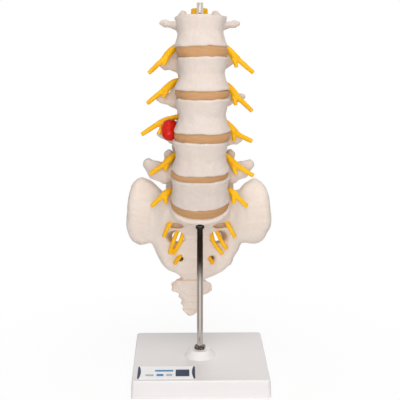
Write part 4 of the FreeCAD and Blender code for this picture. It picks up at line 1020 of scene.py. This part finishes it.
# Sacral nerves: strands of (x, u, v) in the frame of the sacrum's plate, which taper to their tips
SACRAL_R = 2
SACRAL_TIP_R = 1.7
SACRAL_ROUTES = {
    ("s1", "left"): [[(-3, 22, -13), (-13, 15, -17), (-21, 5, -21), (-27, -4, -25),
                      (-30.5, -8.5, -28.5), (-32.5, -11.5, -34.5)]],
    ("s1", "right"): [[(3, 22, -13), (12, 15, -17), (20, 5, -21), (25.5, -4, -25),
                       (29, -8.5, -28.5), (32.5, -11.5, -35.5)]],
    ("s2", "left"): [[(-2.5, 18, -33), (-12, 11, -37), (-20, 1, -41), (-24.5, -9, -48),
                      (-27.6, -13.5, -58)],
                     [(-12, 11, -37), (-14.5, -1, -45), (-19.5, -10.5, -50.5), (-24.4, -14, -58.5)]],
    ("s2", "right"): [[(0, 18, -33), (9.5, 11, -38), (16.5, 0, -43), (21.5, -9.5, -47.5),
                       (25.4, -13.5, -52)],
                      [(9.5, 11, -38), (10.7, -2, -46), (15.5, -11, -51.5), (21.8, -14, -58.5)]],
    ("s3", "left"): [[(-2.5, 12, -53), (-9, 4, -60), (-14.5, -5, -64), (-18.5, -13.5, -65.5),
                      (-23.5, -19.5, -66.5)]],
    ("s3", "right"): [[(-1.5, 12, -53), (3.5, 4, -61), (7.5, -5, -66), (9.8, -13, -68),
                       (13, -18, -69)]],
}
PROLAPSE = (-26.4, 3.5, 222.5)


def disc_field(level):
    """A rubber disc, swollen at mid height, with fine layers round its edge."""
    place = LEVELS.index(level)
    under = NEXT_DOWN.get(level)
    width_below = TOP_WIDTH[under] if under else PLATE_WIDTH
    depth_below = BODY_DEPTH[under] if under else PLATE_DEPTH

    def field(points):
        share, x, u, rise, drop = slice_places(points, UNDER[level], DISC_HEIGHT[level], DISC_TILT[level])
        width = width_below + (BOTTOM_WIDTH[level] - width_below) * share - 3.8
        slim = SLIM.get(under, 0) * (1 - share)
        x = x - DISC_SHIFT[level] - slim
        width = width - 2 * slim
        depth = depth_below + (BODY_DEPTH[level] - depth_below) * share - 3.8
        angle = np.arctan2(u, x)
        swell = 0.6 * (1 - (2 * share - 1) ** 2) + 0.25 * np.sin(5 * angle + 2 * place)
        layers = 0.09 * np.sin(share * DISC_HEIGHT[level] * 5.2 + 0.8 * np.sin(4 * angle + place))
        side = kidney(x, u, width, depth) - swell - layers
        if level == "l5":
            side = side - L5_BULGE * np.exp(-(x / 9) ** 2) * (u < 0)
        whole = soft_max(side, -(rise + 0.4), 0.6)
        whole = soft_max(whole, -(drop + 0.4), 0.6)
        return bored(whole, points, 0.4)
    return field


def make_disc(level, cell, material):
    """One disc, with the height between its plates kept for its layers."""
    node = "disc_" + level + "_" + NEXT_DOWN.get(level, "s1")
    places, _, faces = skin_in_box(disc_field(level), node, cell)
    share = slice_places(places, UNDER[level], DISC_HEIGHT[level], DISC_TILT[level])[0]
    declare(mesh_piece(node + "_rubber", places, faces, material, "layer", share), node)


def cord_field(points):
    """The cord in its sac, with a raised skin round its cut top."""
    top = UPPER["l1"]
    a, b = CORD_HALF
    stations = [(turned(top, 0, CANAL_BACK, CORD_ABOVE_L1 + 4), a, b)]
    stations += [(point, a, b) for point, _, _ in canal_stations()[1:-1]]
    stations += [(turned(PLATE, 0, u - 1, v), a - 1, b - 0.8) for u, v in SACRAL_CANAL[:3]]
    stations.append((turned(PLATE, -1, *SACRAL_CANAL[3]), a - 3, b - 2))
    whole = limb(points, stations, (1, 0, 0), 1.5)
    x, u, v = in_plate(top, points)
    strands = 0.22 * np.cos(9 * np.arctan2((u - CANAL_BACK) * a / b, x)) + 0.12 * ripple(points, 7, 3)
    whole = whole + strands
    ring = np.abs(np.hypot(x / a, (u - CANAL_BACK) / b) - 0.72) * b
    rim = np.exp(-(ring / 0.5) ** 2)
    return soft_max(whole, v - CORD_ABOVE_L1 + 0.6 + 0.7 * rim, 0.9)


def nucleus_field(points):
    """The slipped core of a disc: a bulb of three soft lobes."""
    centre = np.array(PROLAPSE)
    lobes = [((-0.6, 0, 2.6), (6.4, 6.8, 6.6)), ((-1.8, -1.2, -2.2), (5.2, 5.8, 6.2)),
             ((1.6, -0.8, -3.6), (5.4, 5.8, 5.6)), ((1.4, 1.2, 0.2), (5.6, 6, 8.4))]
    bulbs = []
    for offset, size in lobes:
        near = (points - centre - np.array(offset)) / np.array(size)
        bulbs.append((np.sqrt((near ** 2).sum(1)) - 1) * min(size))
    return joined(bulbs, 2.2) + 0.2 * ripple(points, 5, 21)


# Nerves: a tree of nodes sweeps a round profile along listed curves

def nerve_tree():
    """Nodes that turn curves with radii into rubber strands of slightly uneven thickness."""
    tree = bpy.data.node_groups.new("nerve_strands", "GeometryNodeTree")
    for name, kind in (("Geometry", "Geometry"), ("Sides", "Int"), ("Thickness", "Float"),
                       ("Unevenness", "Float"), ("Material", "Material")):
        tree.interface.new_socket(name, in_out="INPUT", socket_type="NodeSocket" + kind)
    tree.interface.new_socket("Geometry", in_out="OUTPUT", socket_type="NodeSocketGeometry")
    make = Nodes(tree)
    entry = make.node("NodeGroupInput")
    profile = make.node("GeometryNodeCurvePrimitiveCircle", None, {
        "Resolution": entry.other("Sides"), "Radius": 1})
    wide = make.node("GeometryNodeInputRadius") * entry.other("Thickness")
    tube = make.node("GeometryNodeCurveToMesh", None, {
        "Curve": entry, "Profile Curve": profile, "Scale": wide, "Fill Caps": True})
    bumps = make.node("ShaderNodeTexNoise", {"noise_dimensions": "3D"}, {
        "Vector": make.node("GeometryNodeInputPosition"), "Scale": 330, "Detail": 2, "Roughness": 0.5})
    lift = make.node("ShaderNodeMath", {"operation": "MULTIPLY_ADD"}, {0: bumps, 1: 2, 2: -1})
    offset = make.node("ShaderNodeVectorMath", {"operation": "SCALE"}, {
        0: make.node("GeometryNodeInputNormal"), "Scale": lift * entry.other("Unevenness")})
    uneven = make.node("GeometryNodeSetPosition", None, {"Geometry": tube, "Offset": offset})
    smooth = make.node("GeometryNodeSetShadeSmooth", None, {"Geometry": uneven})
    real = make.node("GeometryNodeRealizeInstances", None, {"Geometry": smooth})
    done = make.node("GeometryNodeSetMaterial", None, {"Geometry": real, "Material": entry.other("Material")})
    tree.links.new(done.socket, tree.nodes.new("NodeGroupOutput").inputs["Geometry"])
    return tree


def strand_curve(name, strands):
    """A curve object with one smooth spline for each strand of (point in mm, radius in mm)."""
    curve = bpy.data.curves.new(name, "CURVE")
    curve.dimensions = "3D"
    curve.resolution_u = 10
    for strand in strands:
        spline = curve.splines.new("NURBS")
        spline.points.add(len(strand) - 1)
        for knot, (point, radius) in zip(spline.points, strand):
            knot.co = tuple(point * MM) + (1,)
            knot.radius = radius * MM
        spline.order_u = 3
        spline.use_endpoint_u = True
    return placed(name, curve)


def make_nerve(node, strands, tree, sizes, material):
    """One nerve: strands swept by the tree, then melted into one skin where they join."""
    holder = strand_curve(node + "_path", strands)
    modifier = holder.modifiers.new("strands", "NODES")
    modifier.node_group = tree
    values = {"Sides": sizes.strand_sides, "Thickness": sizes.strand_thickness,
              "Unevenness": sizes.strand_unevenness, "Material": material}
    for socket in tree.interface.items_tree:
        if socket.name in values and socket.in_out == "INPUT":
            modifier[socket.identifier] = values[socket.name]
    graph = bpy.context.evaluated_depsgraph_get()
    graph.update()
    mesh = bpy.data.meshes.new_from_object(holder.evaluated_get(graph), depsgraph=graph)
    if len(mesh.polygons) == 0:
        raise RuntimeError("no strands were made for " + node)
    holder.modifiers.remove(modifier)
    bpy.data.objects.remove(holder)
    rough = placed(node + "_rough", mesh)
    melt = rough.modifiers.new("melt", "REMESH")
    melt.mode = "VOXEL"
    melt.voxel_size = sizes.melt_size
    even = rough.modifiers.new("even", "SMOOTH")
    even.factor = 0.5
    even.iterations = 6
    graph.update()
    graph = bpy.context.evaluated_depsgraph_get()
    melted = bpy.data.meshes.new_from_object(rough.evaluated_get(graph), depsgraph=graph)
    bpy.data.objects.remove(rough)
    melted.name = node + "_rubber"
    melted.shade_smooth()
    melted.materials.clear()
    melted.materials.append(material)
    declare(placed(node + "_rubber", melted), node)


def lumbar_strands(level, side):
    """The main strand and the short stub of a lumbar nerve."""
    sign = -1 if side == "left" else 1
    start = [(sign * x, u, v) for x, u, v in (ROOT_START_L5 if level == "l5" else ROOT_START)]
    points = [turned(UPPER[level], *point) for point in start + LUMBAR_ROUTES[(level, side)]]
    into, middle, out, end = points[3], points[4], points[5], points[8]
    main = [(point, NERVE_R) for point in points[:4]]
    main.append((into + (middle - into) * 0.6, GANGLION_R))
    main.append((middle + (out - middle) * 0.3, GANGLION_R))
    main += [(out, NERVE_R), (points[6], NERVE_R), (points[7], NERVE_TIP_R)]
    short = [(into + (middle - into) * 0.8, STUB_R), (middle + (end - middle) * 0.35, STUB_R + 0.5),
             (middle + (end - middle) * 0.7, STUB_R), (end, STUB_R)]
    return [main, short]


def sacral_strands(root, side):
    """The one or two strands of a sacral nerve."""
    strands = []
    for route in SACRAL_ROUTES[(root, side)]:
        last = len(route) - 1
        strands.append([(turned(PLATE, *point), SACRAL_R + (SACRAL_TIP_R - SACRAL_R) * index / last)
                        for index, point in enumerate(route)])
    return strands


# Stage. The camera stands at EYE; it looks down and turns by so many degrees, with a lens in mm.
CAMERA_LENS = 90.9
CAMERA_DOWN = 12.77
CAMERA_TURN = -1.04
WORLD_STRENGTH = 0.24


def paper(name, colour, shadow_keep):
    """Pale matt surface that the camera, mirrors and glass see as white, but for shadows.

    The shadow is kept near the object and fades out round it."""
    make = Maker(name)
    spots = make.ramp(make.noise(3, 2), 0.3, 0.7)
    base = make.blend(spots * 0.05, colour, tone(colour, 0.97))
    matt = make.node("ShaderNodeBsdfDiffuse", None, {"Color": base, "Roughness": 0.5}, out="BSDF")
    bright = make.node("ShaderNodeEmission", None, {"Color": (1, 1, 1, 1), "Strength": 1})
    keep = (1 - make.ramp(make.away(), 0.1, 0.26)) * shadow_keep
    make.show(make.seen() * (1 - keep), matt, bright)
    return make.material


def painted_reflection_sheet(name, edges, colour, fade, bands=False):
    """A sheet that only mirrors see, as a painted reflection; it fades in between two distances from the rod.

    Bands of it round the rod paint the long streaks of reflection on the rod's lower part."""
    make = Maker(name)
    away = make.away()
    dark = make.ramp(away, *fade)
    if bands:
        place = make.axes()
        facing = place.other(1) / away * -6 + 0.9
        wave = make.node("ShaderNodeMath", {"operation": "COSINE"}, {0: facing})
        dark = dark * (0.5 - wave * 0.5)
    clear = make.node("ShaderNodeBsdfTransparent", out="BSDF")
    make.show(dark, clear, make.node("ShaderNodeEmission", None, {"Color": colour, "Strength": 1}))
    card = flat_sheet(name, edges, make.material)
    for rays in ("camera", "diffuse", "shadow", "transmission"):
        setattr(card, "visible_" + rays, False)


def area_lamp(name, place, aim_height, size, power, mirrored=True):
    """A soft lamp that points at the rod; one that isn't mirrored leaves no glare on gloss."""
    lamp = bpy.data.lights.new(name, "AREA")
    lamp.shape = "RECTANGLE"
    lamp.size = size[0]
    lamp.size_y = size[1]
    lamp.energy = power
    holder = placed(name, lamp)
    holder.visible_glossy = mirrored
    way = Vector((0, 0, aim_height)) - Vector(place)
    holder.location = place
    holder.rotation_euler = way.to_track_quat("-Z", "Y").to_euler()


def make_camera():
    """The camera at the photograph's angle."""
    lens = bpy.data.cameras.new("photo_camera")
    lens.lens = CAMERA_LENS
    lens.sensor_width = 36
    lens.sensor_fit = "HORIZONTAL"
    lens.clip_end = 50
    camera = placed("photo_camera", lens)
    camera.location = Vector(EYE) * MM
    camera.rotation_euler = (math.radians(90 - CAMERA_DOWN), 0, math.radians(CAMERA_TURN))
    bpy.context.scene.camera = camera


def make_world(strength):
    """Soft even light all round, white where the camera or a mirror sees it."""
    world = bpy.data.worlds.new("studio")
    bpy.context.scene.world = world
    world.use_nodes = True
    make = Nodes(world.node_tree)
    white = (1, 1, 1, 1)
    soft = make.node("ShaderNodeBackground", None, {"Color": white, "Strength": strength})
    clear = make.node("ShaderNodeBackground", None, {"Color": white, "Strength": 1})
    make.show(make.seen(), soft, clear, "ShaderNodeOutputWorld")


def flat_sheet(name, edges, material):
    """A level stage surface between two x and two y, at a height, in metres."""
    x0, x1, y0, y1, z = edges
    mesh = bpy.data.meshes.new(name)
    mesh.from_pydata([(x0, y0, z), (x1, y0, z), (x1, y1, z), (x0, y1, z)], [], [(0, 1, 2, 3)])
    mesh.materials.append(material)
    sheet = placed(name, mesh)
    return sheet


# Settings, operators and panel

def shown(red, green, blue):
    """Linear colour of a display colour given from 0 to 255."""
    channels = [value / 255 for value in (red, green, blue)]
    return tuple(c / 12.92 if c <= 0.04045 else ((c + 0.055) / 1.055) ** 2.4 for c in channels)


def colour_setting(name, description, default):
    """A colour that the user can change."""
    return bpy.props.FloatVectorProperty(
        name=name, description=description, default=default, subtype="COLOR", size=3, min=0, max=1)


def length_setting(name, description, default, low, high):
    """A length that the user can change, given in millimetres."""
    return bpy.props.FloatProperty(
        name=name, description=description, default=default * MM, min=low * MM, max=high * MM, unit="LENGTH")


class SpineLooks(bpy.types.PropertyGroup):
    """Colours of the model."""
    # Painted light: the vertebrae and the sacrum share one bone colour, made darker for the vertebrae and
    # lighter for the sacrum for how light falls on them
    vertebra_shaded_colour: colour_setting("Vertebrae", "Colour of the vertebrae", shown(223, 210, 200))
    sacrum_lit_colour: colour_setting("Sacrum", "Colour of the sacrum and coccyx", shown(234, 221, 210))
    disc_colour: colour_setting("Disc", "Colour of the rubber discs", shown(196, 149, 102))
    nerve_colour: colour_setting("Nerve", "Colour of the rubber nerves", shown(248, 188, 10))
    nucleus_colour: colour_setting("Slipped disc", "Colour of the red bulb", shown(212, 30, 12))
    base_colour: colour_setting("Base", "Colour of the base's plastic", shown(231, 227, 226))
    label_dark: colour_setting("Label, dark", "Dark fields of the label", (0.005, 0.02, 0.06))
    label_blue: colour_setting("Label, blue", "Blue fields of the label", (0.05, 0.25, 0.52))
    # Painted shade: how much darker the bones are made in their hollows
    hollow_shade: bpy.props.FloatProperty(
        name="Hollow tint", description="How much darker the bones are in their hollows",
        default=0.7, min=0, max=1, subtype="FACTOR")


class SpineSizes(bpy.types.PropertyGroup):
    """Sizes that shape the skins."""
    vertebra_cell: length_setting("Vertebra grid", "Spacing of a vertebra's skin", 0.75, 0.3, 3)
    sacrum_cell: length_setting("Sacrum grid", "Spacing of the sacrum's skin", 0.9, 0.4, 3)
    small_cell: length_setting("Small grid", "Spacing of the discs' and the cord's skins", 0.5, 0.2, 2)
    bulb_cell: length_setting("Bulb grid", "Spacing of the red bulb's skin", 0.35, 0.2, 2)
    strand_sides: bpy.props.IntProperty(
        name="Strand sides", description="Points round a nerve strand", default=16, min=6, max=48)
    strand_thickness: bpy.props.FloatProperty(
        name="Strand thickness", description="Thickness of the strands against the drawn one", default=1.12,
        min=0.5, max=1.5, subtype="FACTOR")
    strand_unevenness: length_setting("Strand unevenness", "How far a strand's skin strays", 0.25, 0, 1)
    melt_size: length_setting("Melt grid", "Grid on which a nerve's strands are joined", 0.38, 0.2, 1)


class SPINE_OT_vertebrae(bpy.types.Operator):
    """Make the five lumbar vertebrae"""
    bl_idname = "spine.vertebrae"
    bl_label = "Vertebrae"

    def execute(self, context):
        looks = context.scene.spine_looks
        material = bone_material("vertebra_shaded_casting", looks.vertebra_shaded_colour, looks.hollow_shade)
        cell = context.scene.spine_sizes.vertebra_cell / MM
        for level in LEVELS:
            node = "vertebra_" + level
            cast_piece(node + "_bone", vertebra_field(level), node, material, cell)
        return {"FINISHED"}


class SPINE_OT_sacrum(bpy.types.Operator):
    """Make the sacrum and the coccyx"""
    bl_idname = "spine.sacrum"
    bl_label = "Sacrum and coccyx"

    def execute(self, context):
        looks = context.scene.spine_looks
        material = bone_material("sacrum_lit_casting", looks.sacrum_lit_colour, looks.hollow_shade)
        cell = context.scene.spine_sizes.sacrum_cell / MM
        cast_piece("sacrum_bone", sacrum_field, "sacrum", material, cell, shade=pit_shade)
        cell = context.scene.spine_sizes.small_cell / MM
        cast_piece("coccyx_bone", coccyx_field, "coccyx", material, cell, 6, seam_shade)
        return {"FINISHED"}


class SPINE_OT_discs(bpy.types.Operator):
    """Make the five rubber discs"""
    bl_idname = "spine.discs"
    bl_label = "Discs"

    def execute(self, context):
        material = disc_material(context.scene.spine_looks)
        for level in LEVELS:
            make_disc(level, context.scene.spine_sizes.small_cell / MM, material)
        return {"FINISHED"}


class SPINE_OT_nerves(bpy.types.Operator):
    """Make the spinal cord and the sixteen nerves"""
    bl_idname = "spine.nerves"
    bl_label = "Cord and nerves"

    def execute(self, context):
        sizes = context.scene.spine_sizes
        material = nerve_material(context.scene.spine_looks)
        cell = sizes.small_cell / MM
        cast_piece("spinal_cord_rubber", cord_field, "spinal_cord", material, cell, 7)
        tree = nerve_tree()
        for level, side in LUMBAR_ROUTES:
            make_nerve("nerve_" + level + "_" + side, lumbar_strands(level, side), tree, sizes, material)
        for root, side in SACRAL_ROUTES:
            make_nerve("nerve_" + root + "_" + side, sacral_strands(root, side), tree, sizes, material)
        return {"FINISHED"}


class SPINE_OT_nucleus(bpy.types.Operator):
    """Make the slipped disc's red bulb"""
    bl_idname = "spine.nucleus"
    bl_label = "Slipped disc"

    def execute(self, context):
        material = nucleus_material(context.scene.spine_looks)
        cell = context.scene.spine_sizes.bulb_cell / MM
        cast_piece("nucleus_bulb", nucleus_field, "prolapsed_nucleus", material, cell)
        return {"FINISHED"}


class SPINE_OT_stand(bpy.types.Operator):
    """Finish the base, the label, the rod and its hardware"""
    bl_idname = "spine.stand"
    bl_label = "Stand"

    def execute(self, context):
        looks = context.scene.spine_looks
        finishes = {
            "base_shell": base_material(looks), "base_label": label_material(looks),
            "stand_rod": chrome_material(), "rod_nuts": nut_material(), "rod_washer": nut_material(),
            "rod_clip": clip_material()}
        for node, material in finishes.items():
            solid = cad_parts[node]
            solid.data.materials.clear()
            solid.data.materials.append(material)
        return {"FINISHED"}


class SPINE_OT_stage(bpy.types.Operator):
    """Set up the camera, the lamps, the world and the floor"""
    bl_idname = "spine.stage"
    bl_label = "Stage"

    def execute(self, context):
        context.scene.view_settings.view_transform = "Standard"
        make_camera()
        make_world(WORLD_STRENGTH)
        flat_sheet("floor", (-6, 6, -6, 6, 0), paper("floor_paper", (0.9, 0.9, 0.9, 1), 0.1))
        area_lamp("lamp_front", (-0.1, -1.7, 0.95), 0.2, (0.9, 0.7), 10.2, False)
        area_lamp("lamp_top", (0.2, -0.5, 1.7), 0.2, (0.9, 0.9), 11.5)
        area_lamp("lamp_low", (0, -1.3, 0.12), 0.12, (1, 0.24), 5)
        area_lamp("lamp_back", (0.3, 1.6, 0.9), 0.18, (0.9, 0.9), 8, False)
        # Painted reflections: a dark sheet and tan bands that only mirrors see give the rod its dark and
        # streaked reflections
        painted_reflection_sheet("dark_reflection_sheet", (-1, 1, -1.2, 0.35, 0.001), (0.02, 0.018, 0.016, 1), (0.28, 0.34))
        painted_reflection_sheet("tan_reflection_bands", (-0.34, 0.34, -0.34, 0.34, 0.002), (0.16, 0.1, 0.06, 1), (0.05, 0.06), True)
        return {"FINISHED"}


STEPS = (SPINE_OT_stage, SPINE_OT_vertebrae, SPINE_OT_sacrum, SPINE_OT_discs, SPINE_OT_nerves,
         SPINE_OT_nucleus, SPINE_OT_stand)


class SPINE_PT_panel(bpy.types.Panel):
    """Settings and steps of the spine model"""
    bl_idname = "SPINE_PT_panel"
    bl_label = "Spine"
    bl_space_type = "VIEW_3D"
    bl_region_type = "UI"
    bl_category = "Spine"

    def draw(self, context):
        for group in (context.scene.spine_looks, context.scene.spine_sizes):
            for key in group.__annotations__:
                self.layout.prop(group, key)
        for step in STEPS:
            self.layout.operator(step.bl_idname)


def register():
    for made in (SpineLooks, SpineSizes) + STEPS + (SPINE_PT_panel,):
        bpy.utils.register_class(made)
    bpy.types.Scene.spine_looks = bpy.props.PointerProperty(type=SpineLooks)
    bpy.types.Scene.spine_sizes = bpy.props.PointerProperty(type=SpineSizes)


def unregister():
    del bpy.types.Scene.spine_sizes
    del bpy.types.Scene.spine_looks
    for made in reversed((SpineLooks, SpineSizes) + STEPS + (SPINE_PT_panel,)):
        bpy.utils.unregister_class(made)


def main():
    register()
    bpy.ops.spine.stage()
    bpy.ops.spine.vertebrae()
    bpy.ops.spine.sacrum()
    bpy.ops.spine.discs()
    bpy.ops.spine.nerves()
    bpy.ops.spine.nucleus()
    bpy.ops.spine.stand()
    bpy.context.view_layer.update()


if __name__ == "__main__":
    main()
